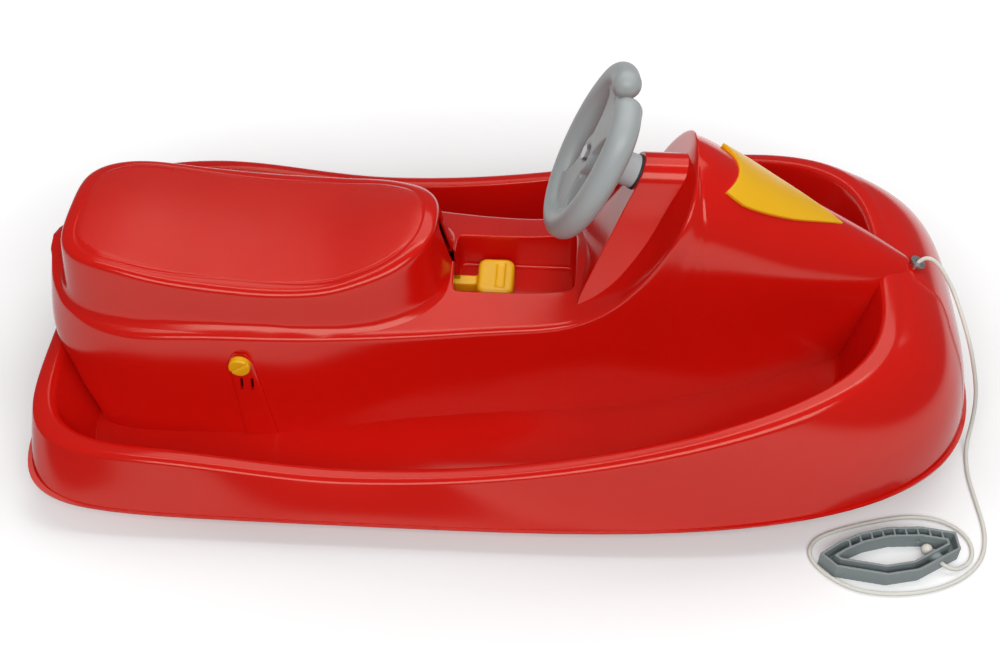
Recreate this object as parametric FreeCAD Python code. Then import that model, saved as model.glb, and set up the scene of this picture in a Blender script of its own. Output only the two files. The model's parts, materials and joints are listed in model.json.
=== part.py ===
"""Child's steering sled: a double-skinned hull, a seat and hood cowl, a wheel that steers a fin, and a claw brake.

Millimetres, +X to the bow, +Y to the rider's left, +Z up, origin on the ground under the middle of the hull.
"""
import FreeCAD, Part
import math
import os

Vec = FreeCAD.Vector

# Hull: outlines are superellipses about the widest station, given by rear end, bow end and half width.
WIDEST_X = -190.0
RIM_REAR, RIM_BOW, RIM_HALF = -577.0, 473.0, 280.0
FOOT_REAR, FOOT_BOW, FOOT_HALF = -575.0, 575.0, 306.0
APRON_REAR, APRON_BOW, APRON_HALF = -576.5, 543.0, 294.0
FLOOR_REAR, FLOOR_BOW, FLOOR_HALF = -512.0, 418.0, 246.0
FLAT_REAR, FLAT_BOW, FLAT_HALF = -470.0, 120.0, 190.0
STERN_POWER, BOW_POWER = 9.0, 3.7
RIM_BAND = 22.0
RIM_Z, RIM_STERN_RISE, RIM_BOW_RISE, RIM_BOW_DROP = 78.0, 56.0, 196.0, 65.0
FOOT_Z, FOOT_STERN_RISE, FOOT_BOW_RISE = 34.0, 21.0, 40.0
APRON_Z, APRON_STERN_RISE, APRON_BOW_RISE = 57.0, 40.0, 112.0
FLOOR_Z, FLOOR_BOW_RISE = 30.0, 66.0
HULL_WALL = 3.0

# Lower skin of the hull, which closes it under the tub and carries the two keels.
LIP = 3.0
FLANGE = 12.0
BILGE_REAR, BILGE_BOW, BILGE_HALF = -530.0, 470.0, 286.0
PAN_FLAT_REAR, PAN_FLAT_BOW, PAN_FLAT_HALF = -480.0, 120.0, 200.0
PAN_Z, BILGE_BOW_RISE = 14.0, 50.0
KEEL_Y, KEEL_WIDTH = 264.0, 30.0
KEEL_REAR, KEEL_BOW, KEEL_RISE = -500.0, 150.0, 45.0

# Cowl: seat base, tunnel and hood in one moulding. Stations are x, half width at the floor, half width at the
# shoulder, shoulder height and crown height.
COWL_WALL = 3.0
COWL_FOOT_Z = 8.0
STATIONS = (
    (-574.0, 48.0, 23.0, 190.0, 400.0),
    (-560.0, 98.0, 66.0, 190.0, 400.0),
    (-530.0, 147.0, 101.0, 190.0, 400.0),
    (-500.0, 168.0, 118.0, 190.0, 400.0),
    (-470.0, 180.0, 130.0, 190.0, 400.0),
    (-370.0, 179.0, 129.0, 190.0, 400.0),
    (-260.0, 173.0, 127.0, 190.0, 400.0),
    (-130.0, 142.0, 116.0, 190.0, 400.0),
    (0.0, 122.0, 102.0, 190.0, 400.0),
    (110.0, 108.0, 98.0, 230.0, 400.0),
    (180.0, 105.0, 96.0, 280.0, 377.0),
    (226.0, 103.0, 94.0, 271.0, 366.0),
    (270.0, 100.0, 89.0, 250.0, 340.0),
    (330.0, 90.0, 79.0, 222.0, 302.0),
    (400.0, 69.0, 60.0, 203.0, 263.0),
    (450.0, 52.0, 44.0, 194.0, 234.0),
    (487.0, 30.0, 26.0, 190.0, 211.0),
)
ARCH_POWER = 2.1
ARCH_POINTS = 12
# Side view of the ledge under the seat, the sill beside the tray and the sweep up into the hood, on the centre plane.
BELT = (
    (-600.0, 196.0),
    (-300.0, 200.0),
    (-130.0, 192.0),
    (0.0, 190.0),
    (70.0, 197.0),
    (125.0, 226.0),
    (165.0, 276.0),
    (191.0, 325.0),
    (205.0, 352.0),
    (226.0, 392.0),
    (246.0, 430.0),
)
BELT_FALL = 0.27

# Seat block on the ledge.
SEAT_LOW_Z, SEAT_HIGH_Z = 150.0, 290.0
SEAT_LOW = (-556.0, -62.0, 126.0)
SEAT_HIGH = (-539.0, -98.0, 97.0)
SEAT_POWERS = (4.5, 2.6)
# Saddle: x, height on the centre plane and fall towards each side at the saddle's half width.
SADDLE = (
    (-610.0, 236.0, 27.0),
    (-540.0, 250.0, 27.0),
    (-480.0, 252.0, 27.0),
    (-400.0, 238.0, 23.0),
    (-300.0, 228.0, 20.0),
    (-220.0, 230.0, 23.0),
    (-160.0, 245.0, 40.0),
    (-110.0, 256.0, 67.0),
    (-50.0, 250.0, 81.0),
)
SADDLE_HALF = 150.0
SEAT_EDGE_RADIUS = 12.0

# Tray for the brake grip, with the slot that the lever swings through.
TRAY_REAR, TRAY_FRONT, TRAY_HALF = -68.0, 83.0, 55.0
TRAY_FLOOR_Z, TRAY_CORNER = 125.0, 12.0
SLOT_HALF, SLOT_TOP_Z, SLOT_REAR = 10.0, 246.0, -110.0

# Steering column, square to the dash.
COLUMN_TILT = 23.5
WHEEL_X, WHEEL_Z = 95.0, 355.0
DASH_S = 58.0
BEZEL_DEPTH = 85.0
BEZEL_FOOT_HALF, BEZEL_SHOULDER_HALF = 80.0, 27.0
BEZEL_FOOT_U, BEZEL_SHOULDER_U, BEZEL_TOP_U = -180.0, -8.0, 25.0
DASH_MARGIN, DASH_RECESS = 12.0, 3.0
WHEEL_HALF_WIDTH, WHEEL_HALF_HEIGHT, WHEEL_TUBE, WHEEL_BULB = 80.0, 104.0, 16.5, 17.5
WHEEL_LIFT = 8.5
HOOK_START, HOOK_RADIUS, HOOK_TURN = 58.0, 45.0, 65.0
WEB_THICK, WEB_HUB = 14.0, 24.0
WEB_OPENING_Y, WEB_OPENING_U, WEB_OPENING_WIDTH, WEB_OPENING_HEIGHT = 46.0, -13.0, 58.0, 124.0
WEB_NOTCH_U, WEB_NOTCH_RADIUS = 98.0, 36.0
HUB_RADIUS, HUB_END_RADIUS = 22.0, 20.0
COLUMN_RADIUS = 8.0
COLLAR_RADIUS, COLLAR_THICK, BUSH_SPIGOT = 21.5, 5.0, 13.0
BULKHEAD_S, BULKHEAD_THICK, BULKHEAD_LOW_U = 100.0, 6.0, -45.0
RING_RADIUS, RING_THICK = 13.0, 4.0
ARM_S, ARM_THICK, ARM_WIDTH, DROP_RADIUS = 114.0, 12.0, 24.0, 60.0
CRANK_PIN_RADIUS, CRANK_PIN_LENGTH = 5.0, 30.0

# Kingpin, tiller and fin.
KINGPIN_X, KINGPIN_RADIUS = 300.0, 8.0
POST_SEAT_Z, POST_TOP_Z = 86.0, 197.0
POST_BOSS_RADIUS, POST_FLANGE, POST_FOOT_RADIUS, POST_NECK_RADIUS = 36.0, 5.0, 22.0, 16.0
POST_SCREW_CIRCLE, POST_SCREWS = 27.0, 4
BUSH_RADIUS, BUSH_FLANGE_RADIUS, BUSH_FLANGE = 11.0, 15.0, 3.0
BUSH_LENGTH = 22.0
PAN_BOSS_LOW_Z, PAN_BOSS_HIGH_Z, PAN_BOSS_RADIUS = 38.0, 60.0, 18.0
TILLER_HUB_RADIUS, TILLER_HUB_TOP_Z = 15.0, 250.0
FORK_LOW_Z, FORK_HIGH_Z, FORK_PRONG, FORK_PLAY = 221.0, 262.0, 7.0, 2.7
FORK_BACK, FORK_REACH = 58.0, 98.0
NUT_ACROSS, NUT_HEIGHT = 20.0, 9.0
FIN_THICK, FIN_REAR, FIN_FRONT, FIN_BOTTOM_Z = 8.0, 236.0, 392.0, 3.0
FIN_REAR_TOP_Z, FIN_FRONT_TOP_Z, FIN_HUB_RADIUS, FIN_HUB_LOW_Z = 20.0, 40.0, 14.0, 8.0
FIN_PIN_RADIUS = 2.5

# Brake lever, its axle through the cowl, the claw and the two round knobs.
PIVOT_X, PIVOT_Z = -320.0, 130.0
AXLE_RADIUS, KNOB_RADIUS, KNOB_THICK = 5.0, 13.25, 9.0
KNOB_SEAT_Y, KNOB_BOSS_RADIUS = 147.0, 15.5
LEVER_WIDTH, LEVER_HUB, LEVER_DEPTH = 16.0, 14.0, 15.0
LEVER_HUB_WIDTH = 30.0
LEVER_NECK_X, LEVER_NECK_Z = -62.0, 139.0
GRIP_REAR, GRIP_FRONT, GRIP_HALF, GRIP_LOW_Z, GRIP_TOP_Z = -40.0, 6.0, 31.0, 126.0, 157.0
GRIP_GROOVE, GRIP_GROOVE_DEPTH = 11.0, 3.0
TAIL_X, TAIL_Z = -412.0, 112.0
CLAW_TIP_X, CLAW_TIP_Z, CLAW_THICK, CLAW_TOOTH = -452.0, 17.0, 4.0, 14.0
RIVET_RADIUS, RIVET_HEAD = 2.5, 4.5
CLAW_SLOT_REAR, CLAW_SLOT_FRONT, CLAW_SLOT_HALF = -474.0, -372.0, 17.0
TAB_WIDTH, TAB_FOOT_WIDTH, TAB_PROUD, TAB_LEAN = 32.0, 42.0, 3.0, 21.0
TAB_SLOT_WIDTH, TAB_SLOT_LENGTH = 3.5, 16.0

# Nose panel on the hood.
PANEL_REAR, PANEL_NOTCH, PANEL_WIDE, PANEL_WAIST, PANEL_TIP = 251.0, 268.0, 276.0, 332.0, 401.0
PANEL_CUSP_HALF, PANEL_HALF, PANEL_WAIST_HALF, PANEL_PROUD = 45.0, 48.0, 33.0, 3.0

# Screws that hold the cowl to the tub floor, at their bosses.
COWL_BOSSES = (-430.0, -200.0, 30.0)
COWL_BOSS_RADIUS, COWL_BOSS_HEIGHT, COWL_BOSS_INSET = 9.0, 34.0, 7.0
SCREW_RADIUS, SCREW_HEAD, SCREW_HEAD_HEIGHT = 2.5, 5.0, 3.0

# Tow gear.
EYELET_X, EYELET_Z, EYELET_TILT = 501.0, 202.0, 20.0
EYELET_FLANGE, EYELET_BARREL, EYELET_BORE, EYELET_LIP = 10.0, 6.5, 3.6, 2.0
EYELET_BELOW, EYELET_ABOVE = 6.0, 5.0
ROPE_RADIUS, KNOT_RADIUS = 2.5, 7.0
# The rope's corners: out of the eyelet, down over the bow, along the ground and once round the handle into its bar.
ROPE_ROUTE = (
    (495.5, 0.0, 187.0), (499.3, 0.3, 197.3), (503.0, 0.0, 207.6), (512.0, -1.0, 216.0),
    (525.0, -5.0, 210.0), (540.0, -16.0, 192.0), (551.0, -30.0, 175.0), (558.0, -72.0, 165.0),
    (569.0, -91.0, 137.0), (587.0, -96.0, 80.0), (592.0, -102.0, 36.0), (587.0, -120.0, 2.5),
    (581.0, -166.0, 2.5), (585.0, -212.0, 2.5), (588.0, -252.0, 2.5), (581.0, -285.0, 2.5),
    (566.0, -308.0, 2.5), (540.0, -329.0, 2.5), (500.0, -345.0, 2.5), (452.0, -350.0, 2.5),
    (414.0, -343.0, 2.5), (384.0, -321.0, 2.5), (371.0, -297.0, 2.5), (381.0, -276.0, 2.5),
    (407.0, -262.0, 2.5), (449.0, -247.0, 2.5), (497.0, -235.0, 2.5), (531.0, -237.0, 2.5),
    (553.0, -248.0, 2.5), (566.0, -265.0, 2.5), (568.0, -284.0, 2.5), (562.0, -298.0, 2.5),
    (553.0, -306.0, 2.5), (541.0, -313.0, 6.0), (529.0, -312.0, 11.0), (519.8, -300.6, 11.0),
    (511.0, -289.2, 10.8),
)
ROPE_CORNER = 0.45
# Handle: its outline is given about its own middle, the grip on the +Y side.
HANDLE_X, HANDLE_Y, HANDLE_TURN = 463.0, -295.0, 4.5
HANDLE_OUTLINE = (
    (-82.0, -8.0), (-57.0, 8.0), (-30.0, 20.0), (5.0, 28.0), (45.0, 28.0),
    (85.0, 19.0), (85.0, -5.0), (31.0, -34.0), (-8.0, -40.0), (-66.0, -27.0),
)
HANDLE_HEIGHT, HANDLE_BAR, HANDLE_SKIN, HANDLE_FLOOR = 22.0, 14.0, 3.0, 5.0
HANDLE_RIBS, HANDLE_RIB_FROM, HANDLE_RIB_TO = 9, -44.0, 68.0
HANDLE_BOSS, ROPE_PLAY = 8.0, 0.8

# Fits.
RUNNING = 0.05
SEATED = 0.02
FACE = 0.3


def axis_point(along, up=0.0, across=0.0):
    """Point on the column: along the axis towards the bow, up the wheel's plane and across."""
    tilt = math.radians(COLUMN_TILT)
    x = WHEEL_X + along * math.cos(tilt) + up * math.sin(tilt)
    z = WHEEL_Z - along * math.sin(tilt) + up * math.cos(tilt)
    return Vec(x, across, z)


def on_column(shape):
    """Move a shape drawn about the X axis, with Z up, onto the steering column."""
    placed = shape.copy()
    placed.rotate(Vec(), Vec(0, 1, 0), COLUMN_TILT)
    placed.translate(Vec(WHEEL_X, 0, WHEEL_Z))
    return placed


def cylinder(radius, start, end):
    return Part.makeCylinder(radius, (end - start).Length, start, end - start)


def upright(radius, x, y, low, high):
    return Part.makeCylinder(radius, high - low, Vec(x, y, low))


def across(radius, x, z, start, end):
    return Part.makeCylinder(radius, end - start, Vec(x, start, z), Vec(0, 1, 0))


def block(x0, x1, half, z0, z1):
    return Part.makeBox(x1 - x0, 2 * half, z1 - z0, Vec(x0, -half, z0))


def polygon_prism(points, direction):
    """Prism of a closed polygon of points along a direction."""
    wire = Part.makePolygon([*points, points[0]])
    return Part.Face(wire).extrude(direction)


def side_profile(points):
    """Smooth curve through (x, z) points on the centre plane."""
    curve = Part.BSplineCurve()
    curve.interpolate([Vec(x, 0, z) for x, z in points])
    return curve.toShape()


def half_outline(rear, bow, half, powers, count):
    """Points of a superellipse half from the rear to the bow, evenly spaced along it."""
    fine = 400
    points = []
    for end, power, sign in ((rear, powers[0], 1), (bow, powers[1], -1)):
        for i in range(fine + 1):
            angle = 0.5 * math.pi * (i if sign > 0 else fine - i) / fine
            along = math.cos(angle) ** (2 / power)
            out = math.sin(angle) ** (2 / power)
            points.append((WIDEST_X + (end - WIDEST_X) * along, half * out))
    lengths = [0.0]
    for a, b in zip(points, points[1:]):
        lengths.append(lengths[-1] + math.dist(a, b))
    chosen = []
    k = 0
    for i in range(count + 1):
        target = lengths[-1] * i / count
        while k < len(lengths) - 2 and lengths[k + 1] < target:
            k += 1
        step = max(lengths[k + 1] - lengths[k], 1e-9)
        share = (target - lengths[k]) / step
        chosen.append(tuple(p + (q - p) * share for p, q in zip(points[k], points[k + 1])))
    return chosen


def ring(rear, bow, half, height, powers=(STERN_POWER, BOW_POWER), count=40):
    """Closed smooth outline whose height follows x."""
    side = half_outline(rear, bow, half, powers, count)
    loop = side[:-1] + [(x, -y) for x, y in reversed(side[1:])]
    curve = Part.BSplineCurve()
    curve.interpolate(Points=[Vec(x, y, height(x)) for x, y in loop], PeriodicFlag=True)
    return curve.toShape()


def share_aft(x, rear):
    return max(0.0, (WIDEST_X - x) / (WIDEST_X - rear))


def share_fore(x, bow):
    return max(0.0, (x - WIDEST_X) / (bow - WIDEST_X))


def rim_z(x, rear=RIM_REAR, bow=RIM_BOW):
    fore = share_fore(x, bow)
    rise = RIM_BOW_RISE * fore**2 - RIM_BOW_DROP * fore**4
    return RIM_Z + RIM_STERN_RISE * share_aft(x, rear) ** 2 + rise


def foot_z(x):
    rise = FOOT_BOW_RISE * share_fore(x, FOOT_BOW) ** 3
    return FOOT_Z + FOOT_STERN_RISE * share_aft(x, FOOT_REAR) ** 4 + rise


def apron_z(x):
    rise = APRON_BOW_RISE * share_fore(x, APRON_BOW) ** 3
    return APRON_Z + APRON_STERN_RISE * share_aft(x, APRON_REAR) ** 2 + rise


def floor_z(x):
    return FLOOR_Z + FLOOR_BOW_RISE * share_fore(x, FLOOR_BOW) ** 4


def bilge_z(x):
    return PAN_Z + BILGE_BOW_RISE * share_fore(x, BILGE_BOW) ** 4


def inner_rim_z(x):
    return rim_z(x, RIM_REAR + RIM_BAND, RIM_BOW - RIM_BAND)


def grown_ring(rear, bow, half, height, grow=0.0, lift=0.0):
    """An outline grown outwards and lifted."""
    return ring(rear - grow, bow + grow, half + grow, lambda x: height(x) + lift)


def closed_solid(rings, smooth=()):
    """Solid whose skin joins the outlines one after another, with a flat face on the first and the last."""
    faces = [Part.Face(Part.Wire([rings[0]])), Part.Face(Part.Wire([rings[-1]]))]
    i = 0
    while i < len(rings) - 1:
        if i in smooth:
            wires = [Part.Wire([edge]) for edge in rings[i : i + 3]]
            faces += Part.makeLoft(wires, False, False).Faces
            i += 2
        else:
            faces.append(Part.makeRuledSurface(rings[i], rings[i + 1]))
            i += 1
    skin = Part.makeCompound(faces)
    skin.sewShape(0.01)
    solid = Part.makeSolid(skin.Shells[0])
    if solid.Volume < 0:
        solid.reverse()
    return solid


def tub_rings(grow, lift):
    """Rim, wall and floor outlines of the tub, from the rim's outer edge to the flat of the floor."""
    inner = (RIM_REAR + RIM_BAND, RIM_BOW - RIM_BAND, RIM_HALF - RIM_BAND)
    return [
        grown_ring(*inner, inner_rim_z, grow, lift),
        grown_ring(FLOOR_REAR, FLOOR_BOW, FLOOR_HALF, floor_z, grow, lift),
        grown_ring(FLAT_REAR, FLAT_BOW, FLAT_HALF, lambda x: FLOOR_Z, grow, lift),
    ]


def skirt_rings(grow, lift):
    return [
        grown_ring(FOOT_REAR, FOOT_BOW, FOOT_HALF, foot_z, grow),
        grown_ring(APRON_REAR, APRON_BOW, APRON_HALF, apron_z, grow, lift),
        grown_ring(RIM_REAR, RIM_BOW, RIM_HALF, rim_z, grow, lift),
    ]


def tub_space():
    """The room above the tub's rim and floor, a face clearance away from them."""
    rings = tub_rings(-FACE, FACE)
    wide, top = 60.0, 460.0
    rings.insert(0, grown_ring(RIM_REAR, RIM_BOW, RIM_HALF, rim_z, wide, FACE))
    rings.insert(0, grown_ring(RIM_REAR, RIM_BOW, RIM_HALF, lambda x: top, wide))
    return closed_solid(rings)


def hull_tub():
    """Upper skin: skirt, rim band, inner wall and floor, with the seat of the kingpin post."""
    upper = list(reversed(tub_rings(0, 0))) + list(reversed(skirt_rings(0, 0)))
    lower = skirt_rings(-HULL_WALL, -HULL_WALL) + tub_rings(HULL_WALL, -HULL_WALL)
    tub = closed_solid(upper + lower, smooth=(3, 6))
    boss = upright(POST_BOSS_RADIUS, KINGPIN_X, 0, POST_SEAT_Z - 24, POST_SEAT_Z)
    tub = tub.fuse(boss)
    cuts = [upright(KINGPIN_RADIUS + 2, KINGPIN_X, 0, 0, POST_SEAT_Z + 1), claw_slot(0)]
    cuts += [upright(SCREW_RADIUS, *post_screw(i), POST_SEAT_Z - 16, POST_SEAT_Z + 1) for i in range(POST_SCREWS)]
    cuts += [upright(SCREW_RADIUS + SEATED, x, y, 0, FLOOR_Z + 9) for x, y in cowl_screw_places()]
    cuts.append(eyelet_hole())
    return tub.cut(cuts).removeSplitter()


def keel():
    top = PAN_Z + HULL_WALL / 2
    low = [(KEEL_REAR, top), (KEEL_REAR + KEEL_RISE, 0.0), (KEEL_BOW - 3 * KEEL_RISE, 0.0), (KEEL_BOW, top)]
    points = [Vec(x, KEEL_Y - KEEL_WIDTH / 2, z) for x, z in low]
    return polygon_prism(points, Vec(0, KEEL_WIDTH, 0))


def keel_pan():
    """Lower skin: a pan with a rising bow and two keels, which meets the tub at its foot."""
    upper = [
        grown_ring(PAN_FLAT_REAR, PAN_FLAT_BOW, PAN_FLAT_HALF, lambda x: PAN_Z, 0, HULL_WALL),
        grown_ring(BILGE_REAR, BILGE_BOW, BILGE_HALF, bilge_z, -HULL_WALL, HULL_WALL),
        grown_ring(FOOT_REAR, FOOT_BOW, FOOT_HALF, foot_z, LIP - FLANGE, -FACE),
        grown_ring(FOOT_REAR, FOOT_BOW, FOOT_HALF, foot_z, LIP, -FACE),
    ]
    lower = [
        grown_ring(FOOT_REAR, FOOT_BOW, FOOT_HALF, foot_z, LIP, -FACE - HULL_WALL),
        grown_ring(FOOT_REAR, FOOT_BOW, FOOT_HALF, foot_z, LIP - FLANGE + HULL_WALL, -FACE - HULL_WALL),
        grown_ring(BILGE_REAR, BILGE_BOW, BILGE_HALF, bilge_z),
        grown_ring(PAN_FLAT_REAR, PAN_FLAT_BOW, PAN_FLAT_HALF, lambda x: PAN_Z),
    ]
    pan = closed_solid(upper + lower)
    left = keel()
    boss = upright(PAN_BOSS_RADIUS, KINGPIN_X, 0, PAN_BOSS_LOW_Z, PAN_BOSS_HIGH_Z)
    pan = pan.fuse([left, left.mirror(Vec(), Vec(0, 1, 0)), boss])
    bore = upright(BUSH_RADIUS + SEATED, KINGPIN_X, 0, 0, PAN_BOSS_HIGH_Z + 1)
    spotface = upright(BUSH_FLANGE_RADIUS + FACE, KINGPIN_X, 0, 0, PAN_BOSS_LOW_Z)
    return pan.cut([bore, spotface, claw_slot(0)]).removeSplitter()


def claw_slot(grow):
    """Slot through the hull for the brake claw."""
    half = CLAW_SLOT_HALF + grow
    slot = block(CLAW_SLOT_REAR + half, CLAW_SLOT_FRONT - half, half, 0, FLOOR_Z + 5)
    ends = [upright(half, x, 0, 0, FLOOR_Z + 5) for x in (CLAW_SLOT_REAR + half, CLAW_SLOT_FRONT - half)]
    return slot.fuse(ends)


def post_screw(i):
    angle = math.radians(45 + 360 / POST_SCREWS * i)
    return KINGPIN_X + POST_SCREW_CIRCLE * math.cos(angle), POST_SCREW_CIRCLE * math.sin(angle)


def flank_y(x, z):
    """Half width of the cowl's flank at a place along it and a height below the shoulder."""
    for a, b in zip(STATIONS, STATIONS[1:]):
        if a[0] <= x <= b[0]:
            share = (x - a[0]) / (b[0] - a[0])
            foot, shoulder, shoulder_z = (p + (q - p) * share for p, q in zip(a[1:4], b[1:4]))
            return foot + (shoulder - foot) * (z - COWL_FOOT_Z) / (shoulder_z - COWL_FOOT_Z)
    raise ValueError("the place is beyond the cowl")


def cowl_screw_places():
    places = []
    for x in COWL_BOSSES:
        y = flank_y(x, FLOOR_Z + COWL_BOSS_HEIGHT) - COWL_BOSS_INSET
        places += [(x, y), (x, -y)]
    return places


def cowl_section(station, grow):
    """Closed wire across the cowl at one station: foot, two walls and the arch."""
    x, foot, shoulder, shoulder_z, crown = station
    foot += grow
    shoulder += grow
    crown += grow
    rise = crown - shoulder_z
    arch = []
    for i in range(ARCH_POINTS + 1):
        angle = math.pi * i / ARCH_POINTS
        c = math.cos(angle)
        across_y = math.copysign(abs(c) ** (2 / ARCH_POWER), c) * shoulder
        arch.append(Vec(x, across_y, shoulder_z + rise * math.sin(angle) ** (2 / ARCH_POWER)))
    curve = Part.BSplineCurve()
    curve.interpolate(arch)
    left = Vec(x, foot, COWL_FOOT_Z)
    right = Vec(x, -foot, COWL_FOOT_Z)
    return Part.Wire(
        [
            Part.makeLine(right, left),
            Part.makeLine(left, arch[0]),
            curve.toShape(),
            Part.makeLine(arch[-1], right),
        ]
    )


def cowl_loft(grow):
    stations = [list(s) for s in STATIONS]
    stations[0][0] -= grow
    stations[-1][0] += grow
    return Part.makeLoft([cowl_section(s, grow) for s in stations], True, False)


def belt_cutters(grow):
    """What is cut away over the ledge, sill and sweep: it falls to each side like a shallow roof."""
    cutters = []
    reach = 320.0
    top = Vec(0, 0, 500.0)
    for sign in (1, -1):
        profile = side_profile([(x - grow, z + grow) for x, z in BELT])
        sheet = profile.extrude(Vec(0, sign * reach, -BELT_FALL * reach))
        solid = sheet.extrude(top)
        cutters.append(solid)
    return cutters


def seat_block(grow):
    """Seat: a tapered superellipse block, cut by the saddle profile."""
    def level(dims, z):
        rear, front, half = dims
        middle = (rear + front) / 2
        side = half_outline(
            rear - grow + WIDEST_X - middle, front + grow + WIDEST_X - middle, half + grow, SEAT_POWERS, 24
        )
        loop = side[:-1] + [(x, -y) for x, y in reversed(side[1:])]
        curve = Part.BSplineCurve()
        shift = middle - WIDEST_X
        curve.interpolate(Points=[Vec(x + shift, y, z) for x, y in loop], PeriodicFlag=True)
        return Part.Wire([curve.toShape()])

    body = Part.makeLoft([level(SEAT_LOW, SEAT_LOW_Z), level(SEAT_HIGH, SEAT_HIGH_Z)], True, True)
    arcs = []
    for x, z, fall in SADDLE:
        low = z + grow - fall
        arc = Part.Arc(Vec(x, -SADDLE_HALF, low), Vec(x, 0, z + grow), Vec(x, SADDLE_HALF, low))
        arcs.append(Part.Wire([arc.toShape()]))
    saddle = Part.makeLoft(arcs, False, False).extrude(Vec(0, 0, 200))
    seat = body.cut(saddle)
    if grow < 0:
        return seat
    edges = [e for e in seat.Edges if e.BoundBox.ZMin > SEAT_LOW_Z + 30]
    return seat.makeFillet(SEAT_EDGE_RADIUS, edges)


def arch_face(foot_half, shoulder_half, foot_u, shoulder_u, top_u, along):
    """Face of the dash's arch, square to the column."""
    foot_l, foot_r = Vec(along, foot_half, foot_u), Vec(along, -foot_half, foot_u)
    left, right = Vec(along, shoulder_half, shoulder_u), Vec(along, -shoulder_half, shoulder_u)
    arc = Part.Arc(left, Vec(along, 0, top_u), right).toShape()
    wire = Part.Wire([Part.makeLine(foot_r, foot_l), Part.makeLine(foot_l, left), arc, Part.makeLine(right, foot_r)])
    return Part.Face(wire)


def bezel(grow):
    """The dash's arch, carried level into the hood."""
    tilt = math.radians(COLUMN_TILT)
    level = Vec(BEZEL_DEPTH * math.cos(tilt), 0, BEZEL_DEPTH * math.sin(tilt))
    face = arch_face(
        BEZEL_FOOT_HALF + grow,
        BEZEL_SHOULDER_HALF + grow,
        BEZEL_FOOT_U,
        BEZEL_SHOULDER_U,
        BEZEL_TOP_U + grow,
        DASH_S - grow,
    )
    return on_column(face.extrude(level))


def dash_recess():
    face = arch_face(
        BEZEL_FOOT_HALF - DASH_MARGIN,
        BEZEL_SHOULDER_HALF - DASH_MARGIN,
        BEZEL_FOOT_U,
        BEZEL_SHOULDER_U,
        BEZEL_TOP_U - DASH_MARGIN / 3,
        DASH_S - 1,
    )
    return on_column(face.extrude(Vec(1 + DASH_RECESS, 0, 0)))


def cowl_solid(grow):
    """Outer form of the cowl, or its hollow when grown inwards."""
    body = cowl_loft(grow)
    for cutter in belt_cutters(grow):
        body = body.cut(cutter)
    return body.fuse([seat_block(grow), bezel(grow)])


def rounded_box(x0, x1, half, z0, z1, radius):
    box = block(x0, x1, half, z0, z1)
    return box.makeFillet(radius, [e for e in box.Edges if abs(e.BoundBox.ZLength - (z1 - z0)) < 1e-6])


def body_cowl(hollow):
    """Seat base, tunnel and hood: one thin moulding that stands on the tub floor and laps over the rim."""
    outer = cowl_solid(0)
    tab = tabs(outer)
    tray = rounded_box(
        TRAY_REAR - COWL_WALL,
        TRAY_FRONT + COWL_WALL,
        TRAY_HALF + COWL_WALL,
        TRAY_FLOOR_Z - COWL_WALL,
        SLOT_TOP_Z,
        TRAY_CORNER + COWL_WALL,
    ).common(outer)
    shell = outer.cut(hollow).fuse(tray)
    bosses = []
    for x, y in cowl_screw_places():
        post = upright(COWL_BOSS_RADIUS, x, y, 0, FLOOR_Z + COWL_BOSS_HEIGHT)
        bosses.append(post.common(outer))
    shell = shell.fuse(bosses + tab).common(tub_space())
    cuts = [rounded_box(TRAY_REAR, TRAY_FRONT, TRAY_HALF, TRAY_FLOOR_Z, 400, TRAY_CORNER), lever_slot(), dash_recess()]
    cuts.append(cylinder(BUSH_SPIGOT + SEATED, axis_point(DASH_S - 10), axis_point(DASH_S + 20)))
    seat_s = DASH_S + DASH_RECESS
    cuts.append(cylinder(COLLAR_RADIUS + FACE, axis_point(DASH_S - 10), axis_point(seat_s)))
    cuts.append(across(AXLE_RADIUS + SEATED, PIVOT_X, PIVOT_Z, -KNOB_SEAT_Y - 5, KNOB_SEAT_Y + 5))
    cuts += [upright(SCREW_RADIUS, x, y, 0, FLOOR_Z + COWL_BOSS_HEIGHT - 8) for x, y in cowl_screw_places()]
    cuts += tab_slots() + knob_seats()
    for cut in cuts:
        shell = shell.cut(cut)
    return max(shell.Solids, key=lambda solid: solid.Volume)


def lever_slot():
    """Slot in the seat front and tray wall that the brake lever swings up through."""
    front, spring = TRAY_REAR + 1, SLOT_TOP_Z - SLOT_HALF
    low = block(SLOT_REAR, front, SLOT_HALF, TRAY_FLOOR_Z, spring)
    return low.fuse(cylinder(SLOT_HALF, Vec(SLOT_REAR, 0, spring), Vec(front, 0, spring)))


def tabs(outer):
    """The raised strip on each flank, from the floor up round the knob, and the flat boss under the knob."""
    proud = cowl_loft(TAB_PROUD)
    half = TAB_WIDTH / 2
    made = []
    for sign in (1, -1):
        points = [
            Vec(PIVOT_X + TAB_LEAN - TAB_FOOT_WIDTH / 2, 0, FLOOR_Z - 10),
            Vec(PIVOT_X + TAB_LEAN + TAB_FOOT_WIDTH / 2, 0, FLOOR_Z - 10),
            Vec(PIVOT_X + half, 0, PIVOT_Z),
            Vec(PIVOT_X - half, 0, PIVOT_Z),
        ]
        strip = polygon_prism(points, Vec(0, sign * 250, 0))
        top = across(half, PIVOT_X, PIVOT_Z, 0, 250) if sign > 0 else across(half, PIVOT_X, PIVOT_Z, -250, 0)
        made.append(strip.fuse(top).common(proud).cut(outer))
        y0, y1 = sorted((sign * (KNOB_SEAT_Y - 14), sign * KNOB_SEAT_Y))
        made.append(across(KNOB_BOSS_RADIUS, PIVOT_X, PIVOT_Z, y0, y1))
    return made


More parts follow.
